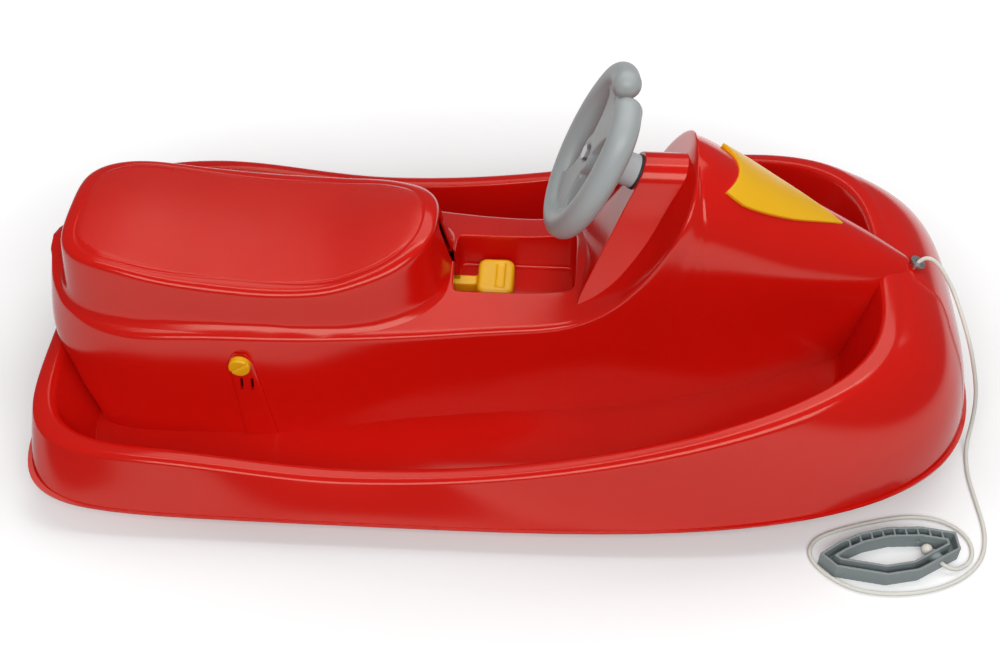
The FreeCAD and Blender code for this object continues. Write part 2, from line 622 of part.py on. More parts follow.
def tab_slots():
    cuts = []
    top = PIVOT_Z - KNOB_BOSS_RADIUS - 4
    for offset in (-8.0, 5.0):
        x = PIVOT_X + 6 + offset
        for y0 in (-230.0, 100.0):
            cuts.append(Part.makeBox(TAB_SLOT_WIDTH, 130.0, TAB_SLOT_LENGTH, Vec(x, y0, top - TAB_SLOT_LENGTH)))
    return cuts


def knob_seats():
    """Flat counterbores that let each knob sit square on the leaning flank."""
    reach = KNOB_SEAT_Y + 20
    cuts = [across(KNOB_BOSS_RADIUS, PIVOT_X, PIVOT_Z, KNOB_SEAT_Y, reach)]
    cuts.append(across(KNOB_BOSS_RADIUS, PIVOT_X, PIVOT_Z, -reach, -KNOB_SEAT_Y))
    return cuts


def nose_panel():
    """Shield-shaped panel that lies on the hood."""
    rear_l, rear_r = Vec(PANEL_REAR, PANEL_CUSP_HALF, 0), Vec(PANEL_REAR, -PANEL_CUSP_HALF, 0)
    notch = Part.Arc(rear_r, Vec(PANEL_NOTCH, 0, 0), rear_l).toShape()
    tip = Vec(PANEL_TIP, 0, 0)
    sides = []
    for sign in (1, -1):
        curve = Part.BSplineCurve()
        start = rear_l if sign > 0 else rear_r
        wide = Vec(PANEL_WIDE, sign * PANEL_HALF, 0)
        waist = Vec(PANEL_WAIST, sign * PANEL_WAIST_HALF, 0)
        curve.interpolate([start, wide, waist, tip])
        sides.append(curve.toShape())
    face = Part.Face(Part.Wire([notch, sides[0], sides[1]]))
    prism = face.extrude(Vec(0, 0, 500))
    return prism.common(cowl_loft(PANEL_PROUD)).cut(cowl_loft(0))


def dash_collar():
    """Flanged bush that carries the column in the dash."""
    face_s = DASH_S + DASH_RECESS
    flange = cylinder(COLLAR_RADIUS, axis_point(face_s - COLLAR_THICK), axis_point(face_s))
    spigot = cylinder(BUSH_SPIGOT, axis_point(face_s), axis_point(face_s + 12))
    bore = cylinder(COLUMN_RADIUS + RUNNING, axis_point(0), axis_point(face_s + 20))
    return flange.fuse(spigot).cut(bore).removeSplitter()


def column_bulkhead(hollow):
    """Plate across the hood that carries the column's lower bush."""
    slab = Part.makeBox(BULKHEAD_THICK, 400, 300, Vec(BULKHEAD_S, -200, BULKHEAD_LOW_U))
    plate = on_column(slab).common(hollow)
    hole = cylinder(BUSH_SPIGOT + SEATED, axis_point(BULKHEAD_S - 5), axis_point(BULKHEAD_S + 20))
    return plate.cut(hole)


def column_bush():
    start, end = BULKHEAD_S - BUSH_FLANGE, BULKHEAD_S + BULKHEAD_THICK + 1
    flange = cylinder(BUSH_SPIGOT + 4, axis_point(start), axis_point(BULKHEAD_S))
    spigot = cylinder(BUSH_SPIGOT, axis_point(BULKHEAD_S), axis_point(end))
    bore = cylinder(COLUMN_RADIUS + RUNNING, axis_point(start - 5), axis_point(end + 5))
    return flange.fuse(spigot).cut(bore).removeSplitter()


def steering_column():
    return cylinder(COLUMN_RADIUS, axis_point(-WEB_THICK / 2 + 2), axis_point(ARM_S + ARM_THICK))


def column_ring():
    """Retaining ring on the column, just beyond its lower bush."""
    start = BULKHEAD_S + BULKHEAD_THICK + 1 + FACE
    ring_body = cylinder(RING_RADIUS, axis_point(start), axis_point(start + RING_THICK))
    return ring_body.cut(cylinder(COLUMN_RADIUS + SEATED, axis_point(start - 1), axis_point(start + 10)))


def wheel_oval():
    return Part.Ellipse(Vec(0, 0, WHEEL_HALF_HEIGHT), Vec(0, WHEEL_HALF_WIDTH, 0), Vec())


def wheel_hook():
    """Where the tube leaves the oval and bends inwards: the arc's three points and its direction at the end."""
    angle = math.radians(HOOK_START)
    start = Vec(0, WHEEL_HALF_WIDTH * math.sin(angle), WHEEL_HALF_HEIGHT * math.cos(angle))
    along = Vec(0, -WHEEL_HALF_WIDTH * math.cos(angle), WHEEL_HALF_HEIGHT * math.sin(angle)).normalize()
    inward = Vec(0, -along.z, along.y)
    points = []
    for turn in (0, HOOK_TURN / 2, HOOK_TURN):
        turned = math.radians(turn)
        points.append(start + inward * (HOOK_RADIUS * (1 - math.cos(turned))) + along * (HOOK_RADIUS * math.sin(turned)))
    end = math.radians(HOOK_TURN)
    return points, along * math.cos(end) + inward * math.sin(end)


def wheel_tube():
    """Round tube along the oval and both hooks, with a bulb on each end."""
    angle = math.radians(HOOK_START)
    oval = Part.ArcOfEllipse(wheel_oval(), angle, 2 * math.pi - angle).toShape()
    points, heading = wheel_hook()
    left = Part.Arc(*points).toShape()
    right = left.mirror(Vec(), Vec(0, 1, 0))
    end = points[-1]
    path = Part.Wire([left, oval, right])
    tube = path.makePipeShell([Part.Wire([Part.makeCircle(WHEEL_TUBE, end, heading)])], True, False)
    return tube.fuse([Part.makeSphere(WHEEL_BULB, Vec(0, side * end.y, end.z)) for side in (1, -1)])


def wheel_web():
    """Plate across the oval, waisted by two long openings and open at the top."""
    half = WEB_THICK / 2
    plate = Part.Face(Part.Wire([wheel_oval().toShape()])).extrude(Vec(WEB_THICK, 0, 0))
    plate.translate(Vec(-half, 0, 0))
    cuts = [Part.makeCylinder(WEB_NOTCH_RADIUS, WEB_THICK + 2, Vec(-half - 1, 0, WEB_NOTCH_U), Vec(1, 0, 0))]
    for side in (1, -1):
        ellipse = Part.Ellipse(Vec(0, 0, WEB_OPENING_HEIGHT / 2), Vec(0, WEB_OPENING_WIDTH / 2, 0), Vec())
        opening = Part.Face(Part.Wire([ellipse.toShape()])).extrude(Vec(WEB_THICK + 2, 0, 0))
        opening.translate(Vec(-half - 1, side * WEB_OPENING_Y, WEB_OPENING_U))
        cuts.append(opening)
    return plate.cut(cuts)


def steering_wheel():
    """Upright oval of round tube with hooked ends, a little above the hub, on a waisted web."""
    ring_body = wheel_tube().fuse(wheel_web())
    ring_body.translate(Vec(0, 0, WHEEL_LIFT))
    half = WEB_THICK / 2
    whole = on_column(ring_body).fuse(cylinder(WEB_HUB, axis_point(-half), axis_point(half)))
    bore = cylinder(COLUMN_RADIUS + SEATED, axis_point(-half + 2), axis_point(half + 1))
    pocket = cylinder(COLUMN_RADIUS + 3, axis_point(-half - 5), axis_point(-half + 2))
    return whole.cut([bore, pocket]).removeSplitter()


def wheel_hub():
    start, end = WEB_THICK / 2, DASH_S + DASH_RECESS - COLLAR_THICK - FACE
    hub = Part.makeCone(HUB_RADIUS, HUB_END_RADIUS, end - start, Vec(start, 0, 0), Vec(1, 0, 0))
    return on_column(hub).cut(cylinder(COLUMN_RADIUS + SEATED, axis_point(start - 1), axis_point(end + 1)))


def hexagon(across_flats, height):
    radius = across_flats / math.sqrt(3)
    points = [Vec(0, radius * math.cos(math.pi / 3 * i), radius * math.sin(math.pi / 3 * i)) for i in range(6)]
    return polygon_prism(points, Vec(height, 0, 0))


def wheel_bolt():
    """Hexagon head in the web's pocket that holds the wheel on the column."""
    head = hexagon(2 * COLUMN_RADIUS, 5)
    head.translate(Vec(-WEB_THICK / 2 - 3, 0, 0))
    return on_column(head)


def drop_arm():
    """Arm on the column's end with the pin that works the tiller fork."""
    half = ARM_WIDTH / 2
    arm = Part.makeBox(ARM_THICK, ARM_WIDTH, DROP_RADIUS, Vec(ARM_S, -half, -DROP_RADIUS))
    ends = [Part.makeCylinder(half, ARM_THICK, Vec(ARM_S, 0, -z), Vec(1, 0, 0)) for z in (0, DROP_RADIUS)]
    end_s = ARM_S + ARM_THICK + CRANK_PIN_LENGTH
    pin = Part.makeCylinder(CRANK_PIN_RADIUS, end_s - ARM_S, Vec(ARM_S, 0, -DROP_RADIUS), Vec(1, 0, 0))
    bore = Part.makeCylinder(COLUMN_RADIUS + SEATED, ARM_THICK + 2, Vec(ARM_S - 1, 0, 0), Vec(1, 0, 0))
    return on_column(arm.fuse([*ends, pin]).cut(bore).removeSplitter())


def kingpin_post():
    """Tapered post on the tub floor that guides the kingpin, with four gussets on its flange."""
    flange_top = POST_SEAT_Z + POST_FLANGE
    post = upright(POST_BOSS_RADIUS, KINGPIN_X, 0, POST_SEAT_Z, flange_top)
    cone = Part.makeCone(
        POST_FOOT_RADIUS, POST_NECK_RADIUS, POST_TOP_Z - flange_top, Vec(KINGPIN_X, 0, flange_top)
    )
    gussets = []
    for i in range(POST_SCREWS):
        angle = 360 / POST_SCREWS * i
        reach = POST_BOSS_RADIUS - 2
        plate = polygon_prism(
            [Vec(0, -2, flange_top), Vec(reach, -2, flange_top), Vec(0, -2, flange_top + 2 * reach)], Vec(0, 4, 0)
        )
        plate.rotate(Vec(), Vec(0, 0, 1), angle)
        plate.translate(Vec(KINGPIN_X, 0, 0))
        gussets.append(plate)
    post = post.fuse([cone, *gussets])
    cuts = [upright(BUSH_RADIUS + SEATED, KINGPIN_X, 0, 0, POST_TOP_Z + 1)]
    cuts += [upright(SCREW_RADIUS + SEATED, *post_screw(i), 0, flange_top + 60) for i in range(POST_SCREWS)]
    return post.cut(cuts).removeSplitter()


def screw(x, y, seat, tip):
    """Screw with its head on the seat, pointing to the tip."""
    step = 1 if seat > tip else -1
    low, high = sorted((seat, tip))
    shank = upright(SCREW_RADIUS - SEATED, x, y, low, high)
    head_low, head_high = sorted((seat, seat + step * SCREW_HEAD_HEIGHT))
    return shank.fuse(upright(SCREW_HEAD, x, y, head_low, head_high)).removeSplitter()


def post_screws():
    seat = POST_SEAT_Z + POST_FLANGE
    return Part.makeCompound([screw(*post_screw(i), seat, POST_SEAT_Z - 14) for i in range(POST_SCREWS)])


def cowl_screws():
    made = []
    for x, y in cowl_screw_places():
        made.append(screw(x, y, FLOOR_Z - HULL_WALL, FLOOR_Z + COWL_BOSS_HEIGHT - 10))
    return Part.makeCompound(made)


def kingpin_bush(seat_z, up):
    """Flanged bush: the flange is above its seat when up, and below it otherwise."""
    sign = 1 if up else -1
    flange = upright(BUSH_FLANGE_RADIUS, KINGPIN_X, 0, *sorted((seat_z, seat_z + sign * BUSH_FLANGE)))
    sleeve = upright(BUSH_RADIUS, KINGPIN_X, 0, *sorted((seat_z, seat_z - sign * BUSH_LENGTH)))
    bore = upright(KINGPIN_RADIUS + RUNNING, KINGPIN_X, 0, seat_z - 60, seat_z + 60)
    return flange.fuse(sleeve).cut(bore).removeSplitter()


def kingpin():
    pin = upright(KINGPIN_RADIUS, KINGPIN_X, 0, FIN_HUB_LOW_Z + 4, TILLER_HUB_TOP_Z + NUT_HEIGHT - 1)
    return pin.cut(across(FIN_PIN_RADIUS + SEATED, KINGPIN_X, fin_pin_z(), -50, 50))


def tiller_fork():
    """Arm on the kingpin whose fork takes the drop arm's pin."""
    low = POST_TOP_Z + BUSH_FLANGE + FACE
    hub = upright(TILLER_HUB_RADIUS, KINGPIN_X, 0, low, TILLER_HUB_TOP_Z)
    inner = CRANK_PIN_RADIUS + FORK_PLAY
    outer = inner + FORK_PRONG
    arm = block(KINGPIN_X - FORK_BACK, KINGPIN_X, outer - 2, FORK_LOW_Z, TILLER_HUB_TOP_Z)
    fork = block(KINGPIN_X - FORK_REACH, KINGPIN_X - FORK_BACK + 8, outer, FORK_LOW_Z, FORK_HIGH_Z)
    slot = block(KINGPIN_X - FORK_REACH - 1, KINGPIN_X - FORK_BACK, inner, FORK_LOW_Z - 1, FORK_HIGH_Z + 1)
    bore = upright(KINGPIN_RADIUS + SEATED, KINGPIN_X, 0, low - 1, TILLER_HUB_TOP_Z + 20)
    return hub.fuse([arm, fork]).cut([slot, bore]).removeSplitter()


def kingpin_nut():
    nut = hexagon(NUT_ACROSS, NUT_HEIGHT)
    nut.rotate(Vec(), Vec(0, 1, 0), -90)
    nut.translate(Vec(KINGPIN_X, 0, TILLER_HUB_TOP_Z))
    return nut.cut(upright(KINGPIN_RADIUS + SEATED, KINGPIN_X, 0, 0, TILLER_HUB_TOP_Z + 30))


def fin_hub_top():
    return PAN_BOSS_LOW_Z - BUSH_FLANGE - FACE


def steering_fin():
    """Blade under the bow, with a long rise in front, on a round hub."""
    half = FIN_THICK / 2
    points = [
        (FIN_REAR, FIN_REAR_TOP_Z),
        (FIN_REAR + 8, FIN_BOTTOM_Z + 4),
        (FIN_REAR + 22, FIN_BOTTOM_Z),
        (FIN_FRONT - 52, FIN_BOTTOM_Z),
        (FIN_FRONT - 24, FIN_BOTTOM_Z + 7),
        (FIN_FRONT - 8, FIN_BOTTOM_Z + 20),
        (FIN_FRONT, FIN_FRONT_TOP_Z),
        (KINGPIN_X, fin_hub_top() - 6),
    ]
    blade = polygon_prism([Vec(x, -half, z) for x, z in points], Vec(0, FIN_THICK, 0))
    hub = upright(FIN_HUB_RADIUS, KINGPIN_X, 0, FIN_HUB_LOW_Z, fin_hub_top())
    bore = upright(KINGPIN_RADIUS + SEATED, KINGPIN_X, 0, FIN_HUB_LOW_Z + 4, 60)
    hole = across(FIN_PIN_RADIUS + SEATED, KINGPIN_X, fin_pin_z(), -50, 50)
    return blade.fuse(hub).cut([bore, hole]).removeSplitter()


def fin_pin_z():
    return (FIN_HUB_LOW_Z + fin_hub_top()) / 2


def fin_pin():
    return across(FIN_PIN_RADIUS, KINGPIN_X, fin_pin_z(), -FIN_HUB_RADIUS, FIN_HUB_RADIUS)


def bar(start, end, depth, width):
    """Flat bar on the centre plane between two (x, z) points, with round ends."""
    a, b = Vec(start[0], 0, start[1]), Vec(end[0], 0, end[1])
    side = (b - a).cross(Vec(0, 1, 0)).normalize() * (depth / 2)
    down = Vec(0, -width / 2, 0)
    slab = polygon_prism([a + side + down, b + side + down, b - side + down, a - side + down], Vec(0, width, 0))
    ends = [across(depth / 2, p.x, p.z, -width / 2, width / 2) for p in (a, b)]
    return slab.fuse(ends)


def brake_lever():
    """Lever on its hub: a long arm to the grip in the tray, and a tail that carries the claw."""
    hub = across(LEVER_HUB, PIVOT_X, PIVOT_Z, -LEVER_HUB_WIDTH / 2, LEVER_HUB_WIDTH / 2)
    arm = bar((PIVOT_X, PIVOT_Z), (LEVER_NECK_X, LEVER_NECK_Z), LEVER_DEPTH, LEVER_WIDTH)
    neck = bar((LEVER_NECK_X, LEVER_NECK_Z), (GRIP_REAR + 15, LEVER_NECK_Z), LEVER_DEPTH, LEVER_WIDTH)
    tail = bar((PIVOT_X, PIVOT_Z), (TAIL_X, TAIL_Z), LEVER_DEPTH, LEVER_WIDTH)
    grip = block(GRIP_REAR, GRIP_FRONT, GRIP_HALF, GRIP_LOW_Z, GRIP_TOP_Z)
    grip = grip.makeFillet(11, [e for e in grip.Edges if e.BoundBox.ZLength > 1])
    grip = grip.makeFillet(6, [e for e in grip.Edges if e.BoundBox.ZMin > GRIP_TOP_Z - 1e-6])
    middle = (GRIP_REAR + GRIP_FRONT) / 2 + 6
    groove = block(middle - GRIP_GROOVE / 2, middle + GRIP_GROOVE / 2, GRIP_HALF - 9, GRIP_TOP_Z - GRIP_GROOVE_DEPTH,
                   GRIP_TOP_Z + 5)
    lever = hub.fuse([arm, neck, tail, grip.cut(groove)])
    cuts = [across(AXLE_RADIUS + RUNNING, PIVOT_X, PIVOT_Z, -50, 50)]
    cuts += [claw_bolt(i, RIVET_RADIUS + SEATED, 20) for i in range(2)]
    return lever.cut(cuts).removeSplitter()


def claw_bolt(i, radius, reach):
    x = TAIL_X + 4 + 16 * i
    z = TAIL_Z + (PIVOT_Z - TAIL_Z) * (x - TAIL_X) / (PIVOT_X - TAIL_X)
    return across(radius, x, z, -reach, reach)


def brake_claw():
    """Bent steel fork: two cheeks on the tail and two teeth below."""
    cheek_y = LEVER_WIDTH / 2
    made = []
    for sign in (1, -1):
        y0 = cheek_y + SEATED if sign > 0 else -cheek_y - SEATED - CLAW_THICK
        cheek = [
            Vec(TAIL_X + 28, y0, TAIL_Z + 12),
            Vec(TAIL_X - 8, y0, TAIL_Z + 8),
            Vec(CLAW_TIP_X - 6, y0, CLAW_TIP_Z + 22),
            Vec(CLAW_TIP_X, y0, CLAW_TIP_Z),
            Vec(CLAW_TIP_X + CLAW_TOOTH, y0, CLAW_TIP_Z + 26),
            Vec(TAIL_X + 20, y0, TAIL_Z - 6),
        ]
        made.append(polygon_prism(cheek, Vec(0, CLAW_THICK, 0)))
    bridge_x = TAIL_X - LEVER_DEPTH / 2 - 14
    width = 2 * (cheek_y + SEATED) + 1
    made.append(Part.makeBox(8, width, 4, Vec(bridge_x, -width / 2, TAIL_Z - 28)))
    claw = made[0].fuse(made[1:])
    return claw.cut([claw_bolt(i, RIVET_RADIUS + SEATED, 30) for i in range(2)]).removeSplitter()


def claw_rivets():
    outer = LEVER_WIDTH / 2 + SEATED + CLAW_THICK
    made = []
    for i in range(2):
        shank = claw_bolt(i, RIVET_RADIUS, outer + 1.5)
        inner = claw_bolt(i, RIVET_HEAD, outer)
        heads = claw_bolt(i, RIVET_HEAD, outer + 1.5).cut(inner)
        made.append(shank.fuse(heads.Solids).removeSplitter())
    return Part.makeCompound(made)


def brake_axle():
    return across(AXLE_RADIUS, PIVOT_X, PIVOT_Z, -KNOB_SEAT_Y - 5, KNOB_SEAT_Y + 5)


def brake_knob(sign):
    """Round knob on the axle's end, with a V groove across its face."""
    y0, y1 = sorted((sign * KNOB_SEAT_Y, sign * (KNOB_SEAT_Y + KNOB_THICK)))
    knob = across(KNOB_RADIUS, PIVOT_X, PIVOT_Z, y0, y1)
    rim = [e for e in knob.Edges if abs(e.CenterOfMass.y - sign * (KNOB_SEAT_Y + KNOB_THICK)) < 0.01 and e.Closed]
    knob = knob.makeFillet(2, rim)
    face = sign * (KNOB_SEAT_Y + KNOB_THICK)
    groove = polygon_prism(
        [Vec(-20, face + sign, -3.2), Vec(-20, face + sign, 3.2), Vec(-20, face - sign * 3, 0)], Vec(40, 0, 0)
    )
    groove.rotate(Vec(), Vec(0, 1, 0), -35)
    groove.translate(Vec(PIVOT_X, 0, PIVOT_Z))
    socket = across(AXLE_RADIUS + SEATED, PIVOT_X, PIVOT_Z, *sorted((sign * 100, sign * (KNOB_SEAT_Y + 5))))
    return knob.cut([groove, socket]).removeSplitter()


def eyelet_axis():
    tilt = math.radians(EYELET_TILT)
    return Vec(math.sin(tilt), 0, math.cos(tilt))


def eyelet_hole():
    centre = Vec(EYELET_X, 0, EYELET_Z)
    return cylinder(EYELET_BARREL + SEATED, centre - eyelet_axis() * 20, centre + eyelet_axis() * 20)


def tow_eyelet():
    """Flanged eyelet in the bow apron for the tow rope."""
    centre = Vec(EYELET_X, 0, EYELET_Z)
    up = eyelet_axis()
    top = centre + up * EYELET_ABOVE
    barrel = cylinder(EYELET_BARREL, centre - up * EYELET_BELOW, top)
    flange = cylinder(EYELET_FLANGE, top - up * EYELET_LIP, top)
    bore = cylinder(EYELET_BORE, centre - up * 20, centre + up * 20)
    return barrel.fuse(flange).cut(bore).removeSplitter()


def rope_path():
    """Edges of the rope's centre line: straight runs joined by arcs that touch both of their runs."""
    corners = [Vec(*p) for p in ROPE_ROUTE]
    edges = []
    radii = []
    last = corners[0]
    for before, corner, after in zip(corners, corners[1:], corners[2:]):
        back, ahead = before - corner, after - corner
        reach = ROPE_CORNER * min(back.Length, ahead.Length)
        back.normalize()
        ahead.normalize()
        half_turn = (math.pi - back.getAngle(ahead)) / 2
        radius = reach / math.tan(half_turn)
        middle = corner + (back + ahead).normalize() * (radius / math.cos(half_turn) - radius)
        start, end = corner + back * reach, corner + ahead * reach
        edges.append(Part.makeLine(last, start))
        edges.append(Part.Arc(start, middle, end).toShape())
        radii.append(radius)
        last = end
    edges.append(Part.makeLine(last, corners[-1]))
    return edges, radii


def tow_rope():
    edges, radii = rope_path()
    path = Part.Wire(edges)
    start = Vec(*ROPE_ROUTE[0])
    section = Part.Wire([Part.makeCircle(ROPE_RADIUS, start, Vec(*ROPE_ROUTE[1]) - start)])
    rope = path.makePipeShell([section], True, True)
    length = sum(e.Length for e in edges)
    share = rope.Volume / (math.pi * ROPE_RADIUS**2 * length)
    print("rope length", round(length), "smallest bend", round(min(radii), 1), "volume share", round(share, 4))
    return rope


def knot(centre, along):
    """Stopper knot on the rope's end: a ball with the rope through it."""
    ball = Part.makeSphere(KNOT_RADIUS, centre)
    return ball.cut(cylinder(ROPE_RADIUS + SEATED, centre - along * 20, centre + along * 20))


def eyelet_knot():
    start, second = (Vec(*p) for p in ROPE_ROUTE[:2])
    return knot(start, (second - start).normalize())


def handle_knot():
    before, end = (Vec(*p) for p in ROPE_ROUTE[-2:])
    return knot(end, (end - before).normalize())


def handle_outline(inset):
    points = [Vec(x, y, 0) for x, y in HANDLE_OUTLINE]
    wire = Part.makePolygon([*points, points[0]])
    return wire.makeOffset2D(-inset) if inset else wire


def tow_handle():
    """Flat ring on the ground: a channel round it, ribs across the grip, and a boss with the rope's hole."""
    def prism(inset, low):
        face = Part.Face(handle_outline(inset))
        face.translate(Vec(0, 0, low))
        return face.extrude(Vec(0, 0, HANDLE_HEIGHT - low))

    body = prism(0, 0).cut(prism(HANDLE_BAR, 0))
    inner = prism(HANDLE_BAR - HANDLE_SKIN, HANDLE_FLOOR)
    channel = prism(HANDLE_SKIN, HANDLE_FLOOR).cut(inner)
    step = (HANDLE_RIB_TO - HANDLE_RIB_FROM) / (HANDLE_RIBS - 1)
    for i in range(HANDLE_RIBS):
        x = HANDLE_RIB_FROM + step * i
        channel = channel.cut(Part.makeBox(2.4, 80, HANDLE_HEIGHT, Vec(x - 1.2, 0, 0)))
    before, end = (Vec(*p) for p in ROPE_ROUTE[-3:-1])
    along = (end - before).normalize()
    boss = cylinder(HANDLE_BOSS, before - along * 20, end + along * 20)
    placed = []
    for shape in (body, channel):
        shape.rotate(Vec(), Vec(0, 0, 1), HANDLE_TURN)
        shape.translate(Vec(HANDLE_X, HANDLE_Y, 0))
        placed.append(shape)
    body, channel = placed
    hole = cylinder(ROPE_RADIUS + ROPE_PLAY, before - along * 30, end + along * 30)
    return body.cut(channel.cut(boss)).cut(hole).removeSplitter()


PARTS = {}


def build():
    hollow = cowl_solid(-COWL_WALL)
    PARTS["hull_tub"] = hull_tub()
    PARTS["keel_pan"] = keel_pan()
    PARTS["body_cowl"] = body_cowl(hollow)
    PARTS["nose_panel"] = nose_panel()
    PARTS["dash_collar"] = dash_collar()
    PARTS["column_bulkhead"] = column_bulkhead(hollow)
    PARTS["column_bush"] = column_bush()
    PARTS["steering_column"] = steering_column()
    PARTS["column_ring"] = column_ring()
    PARTS["steering_wheel"] = steering_wheel()
    PARTS["wheel_hub"] = wheel_hub()
    PARTS["wheel_bolt"] = wheel_bolt()
    PARTS["drop_arm"] = drop_arm()
    PARTS["kingpin_post"] = kingpin_post()
    PARTS["post_screws"] = post_screws()
    PARTS["kingpin_bush_upper"] = kingpin_bush(POST_TOP_Z, True)
    PARTS["kingpin_bush_lower"] = kingpin_bush(PAN_BOSS_LOW_Z, False)
    PARTS["kingpin"] = kingpin()
    PARTS["tiller_fork"] = tiller_fork()
    PARTS["kingpin_nut"] = kingpin_nut()
    PARTS["steering_fin"] = steering_fin()
    PARTS["fin_pin"] = fin_pin()
    PARTS["brake_lever"] = brake_lever()
    PARTS["brake_claw"] = brake_claw()
    PARTS["claw_rivets"] = claw_rivets()
    PARTS["brake_axle"] = brake_axle()
    PARTS["brake_knob_left"] = brake_knob(1)
    PARTS["brake_knob_right"] = brake_knob(-1)
    PARTS["cowl_screws"] = cowl_screws()
    PARTS["tow_eyelet"] = tow_eyelet()
    PARTS["tow_rope"] = tow_rope()
    PARTS["eyelet_knot"] = eyelet_knot()
    PARTS["handle_knot"] = handle_knot()
    PARTS["tow_handle"] = tow_handle()


build()
os.makedirs("parts", exist_ok=True)
for name, shape in PARTS.items():
    solids = len(shape.Solids)
    print(name, "valid" if shape.isValid() else "INVALID", "solids", solids, "volume", round(shape.Volume))
    shape.exportStep(f"parts/{name}.step")
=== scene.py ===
# %% [markdown]
# # A child's steering sled
# The sled is a red moulded hull with a saddle seat, a hood, a grey steering wheel, a yellow brake lever and
# a tow rope. The construction model is loaded first and stays as it is. Each piece that shows gets a softer
# skin here: real moulded plastic has no sharp edge, and its highlights run along rounded ones.

import bpy
import json
import math
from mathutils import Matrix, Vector


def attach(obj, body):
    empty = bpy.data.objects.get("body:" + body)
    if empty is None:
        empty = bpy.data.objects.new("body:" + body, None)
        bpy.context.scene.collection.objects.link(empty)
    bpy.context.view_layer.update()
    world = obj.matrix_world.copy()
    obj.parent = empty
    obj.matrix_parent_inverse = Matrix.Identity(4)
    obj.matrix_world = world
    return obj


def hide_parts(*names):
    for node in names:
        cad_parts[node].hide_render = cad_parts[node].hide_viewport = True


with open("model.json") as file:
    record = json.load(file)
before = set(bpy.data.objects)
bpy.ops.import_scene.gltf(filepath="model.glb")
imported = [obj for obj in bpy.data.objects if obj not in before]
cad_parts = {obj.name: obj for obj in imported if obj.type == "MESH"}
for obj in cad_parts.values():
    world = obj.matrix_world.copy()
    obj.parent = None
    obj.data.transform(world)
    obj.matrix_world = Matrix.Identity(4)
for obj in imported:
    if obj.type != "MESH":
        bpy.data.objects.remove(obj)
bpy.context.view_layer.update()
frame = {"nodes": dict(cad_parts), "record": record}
nodes = frame["nodes"]
print("nodes", len(nodes))

# %% [markdown]
# ## Camera
# The photo looks down on the sled's right side from a little over 1.8 m. A camera needs a place, a
# direction and a lens. The direction is given as a vector to a target, which is easier to think about than
# three angles.

# %% Camera
EYE = Vector((0.062, -1.2842, 1.3813))
TARGET = Vector((-0.0118, 0.0, 0.0493))
bpy.ops.object.camera_add(location=EYE)
camera = bpy.context.object
camera.rotation_euler = (TARGET - EYE).to_track_quat("-Z", "Y").to_euler()
camera.data.sensor_width = 36.0
camera.data.lens = 50.4
bpy.context.scene.camera = camera
print("camera distance", round((TARGET - EYE).length, 3))

# %% [markdown]
# ## Tow rope
# The rope is one smooth curve through the same corners as the construction model's rope. A NURBS curve
# stays inside its control points, so it lies as loosely as limp cord does. The order is set after the
# points are there. Each point carries the rope's radius, so that the curve's own box is no wider than the
# rope.

# %% Tow rope
ROPE_RADIUS = 0.0025
ROPE_ROUTE = (
    (495.5, 0.0, 187.0), (499.3, 0.3, 197.3), (503.0, 0.0, 207.6), (512.0, -1.0, 216.0),
    (525.0, -5.0, 210.0), (540.0, -16.0, 192.0), (551.0, -30.0, 175.0), (558.0, -72.0, 165.0),
    (569.0, -91.0, 137.0), (587.0, -96.0, 80.0), (592.0, -102.0, 36.0), (587.0, -120.0, 2.5),
    (581.0, -166.0, 2.5), (585.0, -212.0, 2.5), (588.0, -252.0, 2.5), (581.0, -285.0, 2.5),
    (566.0, -308.0, 2.5), (540.0, -329.0, 2.5), (500.0, -345.0, 2.5), (452.0, -350.0, 2.5),
    (414.0, -343.0, 2.5), (384.0, -321.0, 2.5), (371.0, -297.0, 2.5), (381.0, -276.0, 2.5),
    (407.0, -262.0, 2.5), (449.0, -247.0, 2.5), (497.0, -235.0, 2.5), (531.0, -237.0, 2.5),
    (553.0, -248.0, 2.5), (566.0, -265.0, 2.5), (568.0, -284.0, 2.5), (562.0, -298.0, 2.5),
    (553.0, -306.0, 2.5), (541.0, -313.0, 6.0), (529.0, -312.0, 11.0), (519.8, -300.6, 11.0),
    (511.0, -289.2, 10.8),
)
line = bpy.data.curves.new("tow_rope_line", "CURVE")
line.dimensions = "3D"
spline = line.splines.new("NURBS")
spline.points.add(len(ROPE_ROUTE) - 1)
for point, (x, y, z) in zip(spline.points, ROPE_ROUTE):
    point.co = (x * 0.001, y * 0.001, z * 0.001, 1.0)
    point.radius = ROPE_RADIUS
spline.order_u = 3
spline.use_endpoint_u = True
spline.resolution_u = 8
line.bevel_depth = 1.0
line.bevel_resolution = 4
line.use_fill_caps = True
tow_rope = bpy.data.objects.new("tow_rope_braid", line)
bpy.context.scene.collection.objects.link(tow_rope)
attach(tow_rope, "sled")
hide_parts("tow_rope")
print("rope points", len(ROPE_ROUTE))

# %% [markdown]
# ## Helpers for skins
# A moulded skin is drawn as rows of points. A grid is added with as many vertices, each is moved to its
# point, doubles are merged and the faces turned outwards. Rows set close together along an edge keep it
# tight when the subdivision modifier rounds the skin.

# %% Helpers
def select_only(piece):
    bpy.ops.object.select_all(action="DESELECT")
    piece.select_set(True)
    bpy.context.view_layer.objects.active = piece


def skin(name, rows):
    """A grid whose vertices lie on rows of points in millimetres."""
    bpy.ops.object.select_all(action="DESELECT")
    bpy.ops.mesh.primitive_grid_add(x_subdivisions=len(rows[0]) - 1, y_subdivisions=len(rows) - 1, size=1)
    piece = bpy.context.object
    piece.name = name
    piece.data.vertices.foreach_set("co", [c * 0.001 for row in rows for p in row for c in p])
    return piece


def join(*pieces):
    select_only(pieces[0])
    for piece in pieces[1:]:
        piece.select_set(True)
    bpy.ops.object.join()
    return pieces[0]


